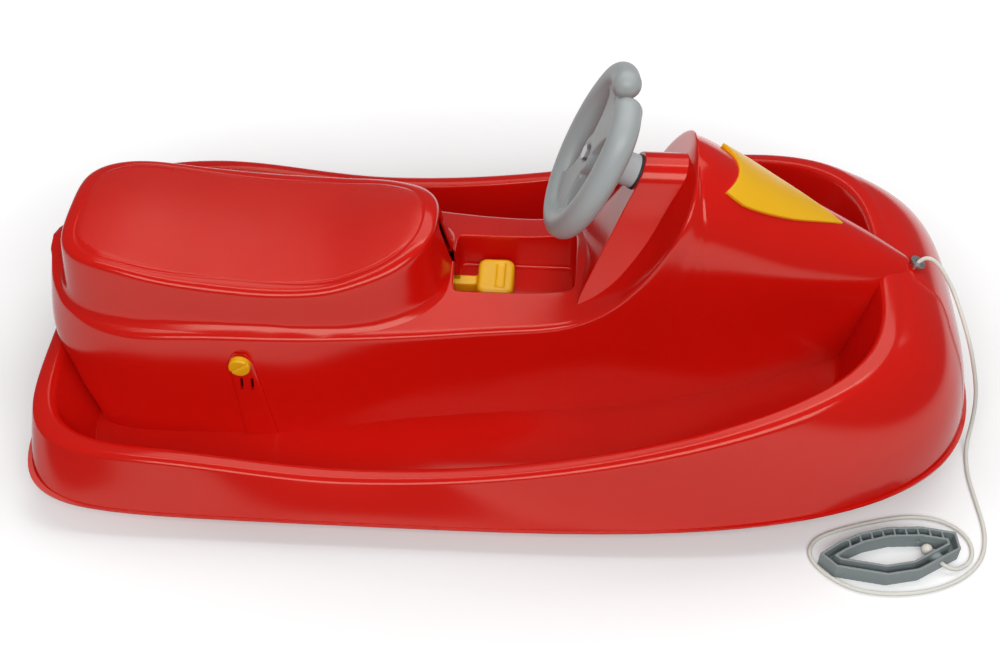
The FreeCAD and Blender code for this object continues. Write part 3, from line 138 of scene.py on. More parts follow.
def weld(piece, distance=0.0002):
    """Merges doubles and turns the faces outwards."""
    select_only(piece)
    bpy.ops.object.mode_set(mode="EDIT")
    bpy.ops.mesh.select_all(action="SELECT")
    bpy.ops.mesh.remove_doubles(threshold=distance)
    bpy.ops.mesh.dissolve_degenerate(threshold=0.00005)
    bpy.ops.mesh.normals_make_consistent(inside=False)
    bpy.ops.object.mode_set(mode="OBJECT")


def select_faces(piece, test):
    """Selects the faces whose centre and normal pass the test, and counts them."""
    select_only(piece)
    bpy.ops.object.mode_set(mode="EDIT")
    bpy.ops.mesh.select_mode(type="FACE")
    bpy.ops.mesh.select_all(action="DESELECT")
    bpy.ops.object.mode_set(mode="OBJECT")
    count = 0
    for face in piece.data.polygons:
        face.select = bool(test(face.center * 1000, face.normal))
        count += face.select
    return count


def apply(piece, kind, **settings):
    """Adds a modifier with its settings and applies it."""
    select_only(piece)
    modifier = piece.modifiers.new(kind.title(), kind)
    for key, value in settings.items():
        setattr(modifier, key, value)
    bpy.ops.object.modifier_apply(modifier=modifier.name)


def smooth_shade(piece, angle=40.0):
    select_only(piece)
    bpy.ops.object.shade_smooth_by_angle(angle=math.radians(angle))


def part_of(piece, body, material_slot, *replaced):
    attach(piece, body)
    if replaced:
        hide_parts(*replaced)
    print(piece.name, "faces", len(piece.data.polygons))


def lerp(a, b, t):
    return tuple(p + (q - p) * t for p, q in zip(a, b))


def curve_through(points):
    """A smooth function of x through (x, value, ...) points: a cubic between each two neighbours."""
    xs = [p[0] for p in points]
    values = [p[1:] for p in points]
    slopes = []
    for i in range(len(points)):
        a, b = max(i - 1, 0), min(i + 1, len(points) - 1)
        slopes.append([(q - p) / (xs[b] - xs[a]) for p, q in zip(values[a], values[b])])

    def at(x):
        i = 0
        while i < len(xs) - 2 and x > xs[i + 1]:
            i += 1
        h = xs[i + 1] - xs[i]
        t = min(max((x - xs[i]) / h, 0.0), 1.0)
        found = []
        for p, q, m, n in zip(values[i], values[i + 1], slopes[i], slopes[i + 1]):
            found.append(
                p * (1 + 2 * t) * (1 - t) ** 2 + m * h * t * (1 - t) ** 2
                + q * t * t * (3 - 2 * t) - n * h * t * t * (1 - t)
            )
        return found

    return at


# %% [markdown]
# ## Hull
# The hull is a shallow tub with a rolled rim and a wide apron at the bow. Seen from above, its foot, apron,
# rim and floor are all rounded oblongs. One such outline is a superellipse with a blunt stern and a softer
# bow, and the skin goes from one outline to the next.

# %% Hull outlines
WIDEST_X = -190.0
BOW_POWER = 3.7
# Rear end, bow end, half width, bluntness of the stern.
FOOT = (-575.0, 575.0, 306.0, 9.0)
APRON = (-576.5, 543.0, 294.0, 7.5)
RIM = (-577.0, 473.0, 280.0, 6.5)
INNER_RIM = (-555.0, 451.0, 258.0, 6.5)
FLOOR = (-512.0, 418.0, 246.0, 9.0)
FLAT = (-470.0, 120.0, 190.0, 9.0)
CORE = (-455.0, 60.0, 60.0, 9.0)
FLOOR_Z = 30.0


def loop(rear, bow, half, stern_power, bow_power=BOW_POWER, count=48, middle=WIDEST_X):
    """Points round a superellipse, evenly spaced, from the stern along +Y to the bow and back."""
    fine = 300
    points = []
    for end, power, sign in ((rear, stern_power, 1), (bow, bow_power, -1)):
        for i in range(fine + 1):
            angle = 0.5 * math.pi * (i if sign > 0 else fine - i) / fine
            x = middle + (end - middle) * math.cos(angle) ** (2 / power)
            points.append((x, half * math.sin(angle) ** (2 / power)))
    lengths = [0.0]
    for a, b in zip(points, points[1:]):
        lengths.append(lengths[-1] + math.dist(a, b))
    side = []
    k = 0
    for i in range(count + 1):
        target = lengths[-1] * i / count
        while k < len(lengths) - 2 and lengths[k + 1] < target:
            k += 1
        share = (target - lengths[k]) / max(lengths[k + 1] - lengths[k], 1e-9)
        side.append(lerp(points[k], points[k + 1], share))
    return side + [(x, -y) for x, y in reversed(side[:-1])]


def aft(x, rear):
    return max(0.0, (WIDEST_X - x) / (WIDEST_X - rear))


def fore(x, bow):
    return max(0.0, (x - WIDEST_X) / (bow - WIDEST_X))


RIM_Z, RIM_STERN_RISE, RIM_STERN_RUN, RIM_BOW_RISE, RIM_BOW_DROP = 78.0, 22.0, 245.0, 196.0, 65.0
FOOT_Z, APRON_Z, RIM_CROWN = 34.0, 57.0, 2.5


def rim_z(x, bow=RIM[1]):
    rise = min(1.0, aft(x, WIDEST_X - RIM_STERN_RUN))
    stern = RIM_STERN_RISE * rise * rise * (3 - 2 * rise)
    return RIM_Z + stern + RIM_BOW_RISE * fore(x, bow) ** 2 - RIM_BOW_DROP * fore(x, bow) ** 4


HEIGHTS = (
    (FOOT, lambda x: FOOT_Z + 21.0 * aft(x, FOOT[0]) ** 4 + 40.0 * fore(x, FOOT[1]) ** 3),
    (APRON, lambda x: APRON_Z + 22.0 * aft(x, APRON[0]) ** 2 + 112.0 * fore(x, APRON[1]) ** 3),
    (RIM, lambda x: rim_z(x) - 1.5),
    (INNER_RIM, lambda x: rim_z(x, INNER_RIM[1]) - 1.0),
    (FLOOR, lambda x: FLOOR_Z + 66.0 * fore(x, FLOOR[1]) ** 4),
    (FLAT, lambda x: FLOOR_Z),
    (CORE, lambda x: FLOOR_Z),
)
foot, apron, rim, inner, floor, flat, core = ([(x, y, z(x)) for x, y in loop(*size)] for size, z in HEIGHTS)


def skirt(t):
    """Row of the outer skin: a smooth bend through foot, apron and rim."""
    a, b, c = (2 * t - 1) * (t - 1), 4 * t * (1 - t), t * (2 * t - 1)
    return [tuple(a * p + b * q + c * r for p, q, r in zip(*three)) for three in zip(foot, apron, rim)]


def step(low, high, t):
    return [lerp(p, q, t) for p, q in zip(low, high)]


hull_rows = [skirt(t) for t in (0.0, 0.05, 0.2, 0.35, 0.5, 0.65, 0.8, 0.9, 0.96, 1.0)]
hull_rows += [[(x, y, z + RIM_CROWN) for x, y, z in step(rim, inner, t)] for t in (0.25, 0.5, 0.75)]
hull_rows.append(inner)
hull_rows += [step(inner, floor, t) for t in (0.1, 0.3, 0.55, 0.8, 0.92, 1.0)]
hull_rows += [step(floor, flat, t) for t in (0.1, 0.3, 0.5, 0.7, 1.0)]
hull_rows += [step(flat, core, t) for t in (0.2, 0.5, 1.0)]
hull = skin("hull_skin", hull_rows)
weld(hull)
print("hull rows", len(hull_rows))

# %% [markdown]
# ## Cowl
# Seat base, tunnel and hood are one moulding. Across the sled it is a wall that leans in to a shoulder and
# an arch over the middle, but behind the wheel all of this is cut away along a line that runs level beside
# the seat and then sweeps up to the hood's crest. The wall is one grid up to that line and the ledge inside
# it is another.

# %% Cowl form
STATIONS = (
    (-574.0, 48.0, 23.0, 190.0, 400.0), (-560.0, 98.0, 66.0, 190.0, 400.0),
    (-530.0, 147.0, 101.0, 190.0, 400.0), (-500.0, 168.0, 118.0, 190.0, 400.0),
    (-470.0, 180.0, 130.0, 190.0, 400.0),
    (-370.0, 179.0, 129.0, 190.0, 400.0), (-260.0, 173.0, 127.0, 190.0, 400.0),
    (-130.0, 142.0, 116.0, 190.0, 400.0), (0.0, 122.0, 102.0, 190.0, 400.0),
    (110.0, 108.0, 98.0, 230.0, 400.0), (180.0, 105.0, 96.0, 280.0, 377.0),
    (226.0, 103.0, 94.0, 271.0, 366.0), (270.0, 100.0, 89.0, 250.0, 340.0),
    (330.0, 90.0, 79.0, 222.0, 302.0), (400.0, 69.0, 60.0, 203.0, 263.0),
    (450.0, 52.0, 44.0, 194.0, 234.0), (487.0, 30.0, 26.0, 190.0, 211.0),
)
BELT = (
    (-600.0, 196.0), (-300.0, 200.0), (-130.0, 192.0), (0.0, 190.0), (70.0, 197.0), (125.0, 226.0),
    (165.0, 276.0), (191.0, 325.0), (205.0, 352.0), (226.0, 392.0), (246.0, 430.0),
)
ARCH_POWER, BELT_FALL, COWL_FOOT_Z = 2.1, 0.27, 8.0
station_at = curve_through(STATIONS)
belt_at = curve_through(BELT)


def wall_y(x, z):
    """Half width of the cowl's wall at a height."""
    low, high, high_z, _ = station_at(x)
    return low + (high - low) * (z - COWL_FOOT_Z) / (high_z - COWL_FOOT_Z)


def hood_z(x, y):
    """Height of the arch over the middle."""
    _, half, spring, crown = station_at(x)
    return spring + (crown - spring) * max(0.0, 1 - (abs(y) / half) ** ARCH_POWER) ** (1 / ARCH_POWER)


def section(x, foot_z=24.0, count=40):
    """Points up the wall and over the arch to the middle, with the length to each."""
    _, half, spring, crown = station_at(x)
    heights = [foot_z + (spring - foot_z) * i / count for i in range(count)]
    points = [(wall_y(x, z), z) for z in heights]
    for i in range(count + 1):
        angle = 0.5 * math.pi * i / count
        y = half * math.cos(angle) ** (2 / ARCH_POWER)
        points.append((y, spring + (crown - spring) * math.sin(angle) ** (2 / ARCH_POWER)))
    lengths = [0.0]
    for a, b in zip(points, points[1:]):
        lengths.append(lengths[-1] + math.dist(a, b))
    return points, lengths


RAKE, RAKE_START_X, RAKE_RUN, RAKE_TOP_Z = 0.3, -470.0, 104.0, 190.0
TUB_FOOT_X, TUB_SLOPE, TUB_DEPTH, STERN_LIMIT_X = -511.0, 43.0, 70.0, -575.0


def raked(x, z):
    """The stern end leans: lower down it lies further back, as far as the tub's wall lets it."""
    lean = RAKE * max(0.0, (RAKE_START_X - x) / RAKE_RUN)
    tub_wall = TUB_FOOT_X - TUB_SLOPE * min(max((z - FLOOR_Z) / TUB_DEPTH, 0.0), 1.0)
    limit = tub_wall if z < FLOOR_Z + TUB_DEPTH else STERN_LIMIT_X
    return max(x + lean * min(z - RAKE_TOP_Z, 0.0), limit)


def on_section(x, share):
    """The point at a share of the way from the foot to the middle."""
    points, lengths = section(x)
    target = share * lengths[-1]
    for i in range(len(points) - 1):
        if lengths[i + 1] >= target:
            t = (target - lengths[i]) / (lengths[i + 1] - lengths[i])
            y, z = lerp(points[i], points[i + 1], t)
            return (raked(x, z), y, z)
    return (x, *points[-1])


def belt_share(x):
    """How far up its section the wall meets the ledge's roof; 1 where it passes under it."""
    points, lengths = section(x)
    over = [z - belt_at(x)[0] + BELT_FALL * y for y, z in points]
    for i in range(len(points) - 1):
        if over[i + 1] >= 0:
            t = over[i] / (over[i] - over[i + 1])
            return (lengths[i] + t * (lengths[i + 1] - lengths[i])) / lengths[-1]
    return 1.0


# %% [markdown]
# ## Columns and rows of the cowl
# A grid follows a form best when its columns run with it. Beside the seat they stand upright. Along the
# sweep they are spaced evenly by length and fan out, so that none is squeezed where the line climbs steeply
# to the crest.

# %% Columns of the cowl
LEVEL_X = (
    -574, -570, -562, -545, -520, -490, -450, -410, -370, -330, -290, -250, -210, -170, -130,
    -100, -78, -68, -56, -30, 0, 30, 58, 72, 83, 94, 108, 122, 136, 150,
)
SWEEP_X, CREST_FOOT_X, NOSE_X, SWEEPS = 150, 270, 487, 14
crest = next(x for x in (200 + 0.05 * i for i in range(800)) if belt_share(x) >= 1.0)
sweep = [SWEEP_X + (crest - SWEEP_X) * (1 - (1 - i / 400) ** 2) for i in range(401)]
sweep = [(x, on_section(x, min(belt_share(x), 1.0)), belt_share(x)) for x in sweep]
run = [0.0]
for a, b in zip(sweep, sweep[1:]):
    run.append(run[-1] + math.dist(a[1], b[1]))
columns = [(float(x), float(x), belt_share(x)) for x in LEVEL_X]
for j in range(1, SWEEPS + 1):
    k = next(i for i, length in enumerate(run) if length >= run[-1] * j / SWEEPS - 1e-6)
    columns.append((sweep[k][0], SWEEP_X + (CREST_FOOT_X - SWEEP_X) * j / SWEEPS, sweep[k][2]))
belt_columns = len(columns)
HOOD_X = (224, 240, 260, 285, 312, 340, 370, 400, 428, 452, 470, 481, 487)
for x in HOOD_X:
    foot_x = CREST_FOOT_X + (x - crest) * (NOSE_X - CREST_FOOT_X) / (NOSE_X - crest)
    columns.append((float(x), foot_x, 1.0))
print("crest at", round(crest, 1), "columns", len(columns))


# %% Wall and ledge grids
def wall_column(top_x, foot_x, share):
    """Points from the foot to the belt line, two of them close under it."""
    path = [on_section(foot_x + (top_x - foot_x) * v / 60, share * v / 60) for v in range(61)]
    lengths = [0.0]
    for a, b in zip(path, path[1:]):
        lengths.append(lengths[-1] + math.dist(a, b))
    total = lengths[-1]
    stops = [(total - 24) * i / 8 for i in range(9)] + [total - 9, total]
    found = []
    for stop in stops:
        i = next((i for i in range(60) if lengths[i + 1] >= stop - 1e-6), 59)
        t = (stop - lengths[i]) / max(lengths[i + 1] - lengths[i], 1e-9)
        found.append(lerp(path[i], path[i + 1], min(max(t, 0), 1)))
    return found


POLE_X, TRAY_HALF = 186.0, 51.0


def ledge_column(top):
    """Points from the belt line to the middle of the ledge, or to one place on the hood's rear face."""
    x, y, _ = top
    end_x = min(x, POLE_X)
    if y > 80:
        ys = [y, y - 8, 57.0, TRAY_HALF, 26.0, 0.0]
    else:
        ys = [y * s for s in (1.0, 0.87, 0.7, 0.5, 0.25, 0.0)]
    found = []
    for row, at_y in enumerate(ys):
        t = (0.0, 0.13, 0.3, 0.5, 0.75, 1.0)[row] if x > POLE_X else 0.0
        at_x = x + (end_x - x) * t
        found.append((at_x, at_y, belt_at(at_x)[0] - BELT_FALL * at_y if row else top[2]))
    return found


def closed_ends(rows, rear, bow):
    """Carries each row across the middle at the rear end, and at the bow too."""
    whole = []
    for row in rows:
        x, y, z = row[0]
        start = [(x - 3, 0.0, z), (x - 3, y * 0.5, z), (x - 2.5, y * 0.94, z)] if rear else []
        x, y, z = row[-1]
        end = [(x + 2, y * 0.9, z - 1), (x + 3, y * 0.5, z - 2), (x + 3, 0.0, z - 2)] if bow else []
        whole.append(start + row + end)
    return whole


walls = [wall_column(*c) for c in columns]
ledges = [ledge_column(wall[-1]) for wall in walls[:belt_columns]]
wall_rows = closed_ends([list(r) for r in zip(*walls)], True, True)
ledge_rows = closed_ends([list(r) for r in zip(*ledges)], True, False)


def mirrored(rows):
    return [[(x, -y, z) for x, y, z in row] for row in rows]


sides = [skin("cowl_skin", wall_rows), skin("wall_right", mirrored(wall_rows))]
sides += [skin("ledge_left", ledge_rows), skin("ledge_right", mirrored(ledge_rows))]
cowl = join(*sides)
weld(cowl)
print("cowl faces", len(cowl.data.polygons))

# %% [markdown]
# ## Brake tray
# Between seat and dash the ledge drops into a tray for the brake grip. The ledge's faces inside the tray's
# outline are extruded down in three steps, so that its lip and its floor keep an edge, and the last step is
# levelled.

# %% Brake tray
TRAY_FLOOR, TRAY_REAR_X, TRAY_FRONT_X = 0.125, -68, 83


def drop_faces(piece, depth=None, level=None):
    """Extrudes the selected faces down by a depth or to a level."""
    select_only(piece)
    bpy.ops.object.mode_set(mode="EDIT")
    bpy.ops.mesh.extrude_region_move(TRANSFORM_OT_translate={"value": (0, 0, -depth if depth else 0)})
    bpy.ops.object.mode_set(mode="OBJECT")
    if level:
        for vertex in piece.data.vertices:
            if vertex.select:
                vertex.co.z = level


in_tray = select_faces(
    cowl, lambda c, n: abs(c.y) < TRAY_HALF and TRAY_REAR_X < c.x < TRAY_FRONT_X and 150 < c.z < 215
)
drop_faces(cowl, depth=0.004)
drop_faces(cowl, level=TRAY_FLOOR + 0.008)
drop_faces(cowl, level=TRAY_FLOOR)
bpy.ops.object.mode_set(mode="EDIT")
bpy.ops.mesh.inset(thickness=0.007, use_even_offset=True)
bpy.ops.object.mode_set(mode="OBJECT")
weld(cowl)
apply(cowl, "SUBSURF", levels=2, render_levels=2)
print("tray faces", in_tray, "cowl faces", len(cowl.data.polygons))

# %% [markdown]
# ## Seat
# The seat is a rounded block on the ledge, dished for two riders. Its rows run up the side from a small
# flare at the foot, turn over a rounded edge and go inwards to the middle. A shallow sewn-looking line is
# moulded inside the edge.

# %% Seat
SEAT_LOW, SEAT_HIGH = (-556.0, -62.0, 126.0), (-539.0, -98.0, 97.0)
SEAT_LOW_Z, SEAT_HIGH_Z = 150.0, 290.0
SADDLE = (
    (-610.0, 236.0, 27.0), (-540.0, 250.0, 27.0), (-480.0, 252.0, 27.0), (-400.0, 238.0, 23.0),
    (-300.0, 228.0, 20.0), (-220.0, 230.0, 23.0), (-160.0, 245.0, 40.0), (-110.0, 256.0, 67.0),
    (-50.0, 250.0, 81.0),
)
SEAT_POINTS, SEAT_LEVELS, LEVEL_STEP = 44, 71, 2.0
SEAT_STERN_POWER, SEAT_BOW_POWER, SEAT_FRONT_X, FLARE = 4.5, 2.6, -70.0, 9
saddle_at = curve_through(SADDLE)


def saddle_z(x, y):
    middle, fall = saddle_at(x)
    return middle - fall * (y / 150.0) ** 2


def seat_loop(z):
    rear, front, half = lerp(SEAT_LOW, SEAT_HIGH, (z - SEAT_LOW_Z) / (SEAT_HIGH_Z - SEAT_LOW_Z))
    return loop(rear, front, half, SEAT_STERN_POWER, SEAT_BOW_POWER, SEAT_POINTS, (rear + front) / 2)


levels = [seat_loop(SEAT_LOW_Z + LEVEL_STEP * i) for i in range(SEAT_LEVELS)]
SEAT_MIDDLE = (-310.0, 0.0)


def seat_side(column):
    """Points up one place on the seat's side, from the ledge to the saddle."""
    found = []
    for i, level in enumerate(levels):
        x, y = level[column]
        z = SEAT_LOW_Z + LEVEL_STEP * i
        if z > saddle_z(x, y):
            break
        if z > belt_at(x)[0] - BELT_FALL * abs(y) - 6:
            found.append((x, y, z))
    return found


seat_rows = [[] for _ in range(15)]
for column in range(2 * SEAT_POINTS + 1):
    side = seat_side(column)
    bottom, top = side[0], side[-1]
    out = Vector((bottom[0] - SEAT_MIDDLE[0], bottom[1], 0)).normalized()
    ledge = belt_at(bottom[0])[0] - BELT_FALL * abs(bottom[1])
    flare = (min(bottom[0] + out.x * FLARE, SEAT_FRONT_X), bottom[1] + out.y * FLARE, ledge - 3)
    height = top[2] - bottom[2]
    rows = [flare]
    for share in (9 / height, 0.3, 0.6, 1 - 9 / height):
        z = bottom[2] + height * share
        x, y, _ = min(side, key=lambda p: abs(p[2] - z))
        rows.append((min(x, SEAT_FRONT_X), y, z))
    edge = (min(top[0], SEAT_FRONT_X), top[1])
    rows.append((*edge, saddle_z(*edge) - 1))
    length = math.dist(edge, SEAT_MIDDLE)
    for inset, drop in ((9, 0), (15, 0), (17.5, 0.9), (20, 0.9), (22.5, 0), (32, 0)):
        x, y = lerp(edge, SEAT_MIDDLE, inset / length)
        rows.append((x, y, saddle_z(x, y) - drop))
    for share, squeeze in ((0.5, 0.55), (0.75, 0.25), (1.0, 0.0)):
        x = edge[0] + (SEAT_MIDDLE[0] - edge[0]) * share * 0.55
        y = edge[1] * squeeze
        rows.append((x, y, saddle_z(x, y)))
    for row, point in zip(seat_rows, rows):
        row.append(point)
seat = skin("seat_skin", seat_rows)
weld(seat)
apply(seat, "SUBSURF", levels=2, render_levels=2)
print("seat faces", len(seat.data.polygons))

# %% [markdown]
# ## Dash
# The dash faces the rider, square to the steering column: a tall arch, carried level into the hood. It is
# drawn as one outline that runs up, round the column's collar and down again. The rows bring it forwards
# out of the hood, round its edge, and step it in to a sunk flat.

# %% Dash
TILT = math.radians(23.5)
WHEEL_X, WHEEL_Z = 95.0, 355.0
DASH_S, DASH_DEPTH, DASH_MARGIN, DASH_RECESS = 58.0, 62.0, 12.0, 3.0
DASH_FOOT, DASH_SHOULDER, DASH_TOP = (80.0, -180.0), (27.0, -8.0), 25.0
TRAY_WALL_X = 86.0


def on_column(along, across, up):
    """A point given along the column, across it and up the wheel's plane, in millimetres."""
    x = WHEEL_X + along * math.cos(TILT) + up * math.sin(TILT)
    return (x, across, WHEEL_Z - along * math.sin(TILT) + up * math.cos(TILT))


def dash_outline(inset):
    """Half the arch from the foot to the top, moved inwards."""
    rise = DASH_TOP - DASH_SHOULDER[1]
    radius = (DASH_SHOULDER[0] ** 2 + rise**2) / (2 * rise)
    span = math.asin(DASH_SHOULDER[0] / radius)
    slope = math.atan2(DASH_FOOT[0] - DASH_SHOULDER[0], DASH_SHOULDER[1] - DASH_FOOT[1])
    points = []
    for i in range(8):
        y, u = lerp(DASH_FOOT, DASH_SHOULDER, i / 8)
        points.append((y - inset * math.cos(slope), u - inset * math.sin(slope) * 0.3))
    for i in range(9):
        angle = span * (1 - i / 8)
        reach = radius - inset
        points.append((reach * math.sin(angle), DASH_TOP - radius + reach * math.cos(angle)))
    return points


def dash_row(inset, sunk, ahead, squeeze=1.0):
    half = [(y * squeeze, u) for y, u in dash_outline(inset)]
    row = []
    for y, u in half + [(-y, u) for y, u in reversed(half[:-1])]:
        x, y, z = on_column(DASH_S + sunk, y, u)
        row.append((max(x, TRAY_WALL_X) + ahead, y, z))
    return row


dash_rows = [dash_row(0, 0, DASH_DEPTH * share) for share in (1.0, 0.6, 0.3, 0.08, 0.02, 0.0)]
dash_rows += [dash_row(inset, 0, 0) for inset in (1.5, 5.0, DASH_MARGIN - 2.5, DASH_MARGIN)]
dash_rows += [dash_row(DASH_MARGIN + extra, DASH_RECESS, 0) for extra in (0.5, 2.0)]
dash_rows += [dash_row(DASH_MARGIN + 2.0, DASH_RECESS, 0, squeeze) for squeeze in (0.5, 0.0)]
dash = skin("dash_skin", dash_rows)
weld(dash, 0.0001)
apply(dash, "SUBSURF", levels=2, render_levels=2)
apply(dash, "SOLIDIFY", thickness=0.002, offset=-1.0)
print("dash faces", len(dash.data.polygons))

# %% [markdown]
# ## Openings in the cowl
# The lever swings up through a slot in the tray's rear wall and the seat's front. A slot-shaped bar is
# taken away from both skins by a boolean modifier. Under the seat, out of sight, a longer bar clears the
# lever's arm.

# %% Openings
def bar(name, low, high):
    bpy.ops.object.select_all(action="DESELECT")
    size = [(b - a) * 0.001 for a, b in zip(low, high)]
    middle = [(a + b) * 0.0005 for a, b in zip(low, high)]
    bpy.ops.mesh.primitive_cube_add(size=1, location=middle, scale=size)
    piece = bpy.context.object
    piece.name = name
    bpy.ops.object.transform_apply(location=True, rotation=True, scale=True)
    return piece


def take_away(piece, tool):
    apply(piece, "BOOLEAN", operation="DIFFERENCE", solver="EXACT", object=tool)


def discard(piece):
    bpy.data.objects.remove(piece)


SKIN_WALL, SLOT_HALF, SLOT_TOP_Z, ARM_HALF = 0.0025, 10, 246, 12
for piece in (cowl, seat):
    apply(piece, "SOLIDIFY", thickness=SKIN_WALL, offset=-1.0)
slot_bar = bar("slot_bar", (-112, -SLOT_HALF, 126), (-60, SLOT_HALF, SLOT_TOP_Z))
apply(slot_bar, "BEVEL", width=0.009, segments=5, limit_method="ANGLE")
for piece in (cowl, seat):
    take_away(piece, slot_bar)
discard(slot_bar)
arm_bar = bar("arm_bar", (-300, -ARM_HALF, 140), (-104, ARM_HALF, SLOT_TOP_Z))
take_away(cowl, arm_bar)
discard(arm_bar)
for piece in (cowl, seat, dash):
    smooth_shade(piece)
print("cowl faces", len(cowl.data.polygons), "seat faces", len(seat.data.polygons))

# %% [markdown]
# ## Hull under the cowl
# The hull's floor goes on under the cowl, where nobody sees it. Its faces there are deleted, well inside
# the cowl's wall, and then the hull gets its rounding and its thickness.

# %% Hull under the cowl
COVERED = 26


def under_cowl(center, normal):
    half = max(wall_y(center.x, FLOOR_Z), 0) - COVERED
    return center.z < 150 and normal.z > 0.5 and -555 < center.x < 440 and abs(center.y) < half


print("faces under the cowl", select_faces(hull, under_cowl))
bpy.ops.object.mode_set(mode="EDIT")
bpy.ops.mesh.delete(type="FACE")
bpy.ops.object.mode_set(mode="OBJECT")
apply(hull, "SUBSURF", levels=2, render_levels=2)
apply(hull, "SOLIDIFY", thickness=SKIN_WALL, offset=-1.0)
smooth_shade(hull)
part_of(hull, "sled", "red_plastic", "hull_tub")
part_of(cowl, "sled", "red_plastic", "body_cowl")
part_of(seat, "sled", "red_plastic")
part_of(dash, "sled", "red_plastic")

# %% [markdown]
# ## Side tabs
# A strip stands a little proud of each wall, from the floor up to the brake's round knob, and carries the
# knob. Two slits under the knob are taken away with thin bars, through the strip and the wall behind it.

# %% Side tabs
PIVOT_X, PIVOT_Z = -320.0, 130.0
TAB_HALF, TAB_FOOT_HALF, TAB_LEAN, TAB_PROUD = 16.0, 21.0, 21.0, 3.0
SLIT_STARTS, SLIT_WIDTH, SLIT_LOW_Z, SLIT_TOP_Z = (-2.0, 11.0), 3.5, 94.5, 110.5
# Across the strip: share of the half width, and how far it stands out from the wall.
TAB_PROFILE = (
    (-1.0, -TAB_PROUD), (-1.0, TAB_PROUD / 2), (-0.9, TAB_PROUD), (-0.4, TAB_PROUD),
    (0.4, TAB_PROUD), (0.9, TAB_PROUD), (1.0, TAB_PROUD / 2), (1.0, -TAB_PROUD),
)


def side_tab(name, sign):
    rows = []
    for i in range(13):
        z = FLOOR_Z - 4 + (PIVOT_Z - FLOOR_Z + 18) * i / 12
        down = max(0.0, (PIVOT_Z - z) / (PIVOT_Z - FLOOR_Z + 10))
        x = PIVOT_X + TAB_LEAN * down
        half = TAB_HALF + (TAB_FOOT_HALF - TAB_HALF) * down
        if z > PIVOT_Z:
            half = math.sqrt(max(TAB_HALF**2 - (z - PIVOT_Z) ** 2, 9.0))
        row = []
        for side, proud in TAB_PROFILE:
            at_x = x + half * side
            row.append((at_x, sign * (wall_y(at_x, z) + proud), z))
        rows.append(row)
    piece = skin(name, rows)
    weld(piece)
    apply(piece, "SUBSURF", levels=2, render_levels=2)
    apply(piece, "SOLIDIFY", thickness=0.001, offset=-1.0)
    smooth_shade(piece)
    return piece


tabs = []
for side_name, sign in (("left", 1), ("right", -1)):
    tab = side_tab("side_tab_" + side_name, sign)
    for start in SLIT_STARTS:
        x = PIVOT_X + start
        low, high = sorted((sign * 125.0, sign * 175.0))
        slit = bar("tab_slit", (x, low, SLIT_LOW_Z), (x + SLIT_WIDTH, high, SLIT_TOP_Z))
        take_away(tab, slit)
        take_away(cowl, slit)
        discard(slit)
    part_of(tab, "sled", "red_plastic")
    tabs.append(tab)

# %% [markdown]
# ## Nose panel
# The yellow panel is a shield with a curved notch behind and a point in front. It lies on the hood, so its
# points take their height from the hood's own form.

# %% Nose panel
PANEL_REAR, PANEL_NOTCH, PANEL_TIP, PANEL_PROUD = 268.0, 17.0, 401.0, 2.8
panel_half = curve_through(((0.0, 45.0), (0.17, 48.0), (0.53, 33.0), (0.78, 17.0), (1.0, 0.0)))
panel_rows = []
for i in range(15):
    t = i / 14
    row = []
    for j in range(13):
        s = j / 6 - 1
        rear = PANEL_REAR - PANEL_NOTCH * s * s
        x = rear + (PANEL_TIP - rear) * t
        y = panel_half(t)[0] * s
        row.append((x, y, hood_z(x, y) + PANEL_PROUD))
    panel_rows.append(row)
panel = skin("nose_panel_skin", panel_rows)
weld(panel, 0.0004)
apply(panel, "SOLIDIFY", thickness=0.005, offset=-1.0)
apply(panel, "BEVEL", width=0.0012, segments=3, limit_method="ANGLE", angle_limit=math.radians(50))
smooth_shade(panel)
part_of(panel, "sled", "yellow_plastic", "nose_panel")

# %% [markdown]
# ## Softened solids
# Wheel, lever, handle and knobs are thick mouldings whose joints are all rounded. A copy of the solid is
# merged, remeshed to even small faces and smoothed, which rounds every edge and fills every corner.

# %% Softened solids
def weld_copy(piece):
    select_only(piece)
    bpy.ops.object.mode_set(mode="EDIT")
    bpy.ops.mesh.select_all(action="SELECT")
    bpy.ops.mesh.remove_doubles(threshold=0.00001)
    bpy.ops.object.mode_set(mode="OBJECT")


def softened(node, name, voxel, rounds, body, material_slot):
    select_only(nodes[node])
    bpy.ops.object.duplicate()
    piece = bpy.context.object
    piece.name = name
    piece.parent = None
    for key in list(piece.keys()):
        del piece[key]
    weld_copy(piece)
    piece.data.remesh_voxel_size = voxel
    bpy.ops.object.voxel_remesh()
    apply(piece, "SMOOTH", factor=0.5, iterations=rounds)
    select_only(piece)
    bpy.ops.object.shade_smooth()
    part_of(piece, body, material_slot, node)
    return piece


wheel = softened("steering_wheel", "wheel_skin", 0.0022, 10, "steering", "wheel_grey")
lever = softened("brake_lever", "lever_skin", 0.0016, 6, "brake", "yellow_plastic")
handle = softened("tow_handle", "handle_skin", 0.0010, 3, "sled", "handle_grey")
knobs = []
for side_name in ("left", "right"):
    knobs.append(softened("brake_knob_" + side_name, "knob_" + side_name, 0.0006, 3, "sled", "yellow_plastic"))

# %% [markdown]
# ## Cord facts
# The rope's length is printed.

# %% Cord facts
print("cord length", 1.05)

# %% [markdown]
# ## Materials
# Moulded plastic is one colour all through, but never looks flat: it has a fine orange-peel skin, slight
# clouding, and places that are more rubbed than others. Noise at three sizes drives colour, roughness and
# bump.

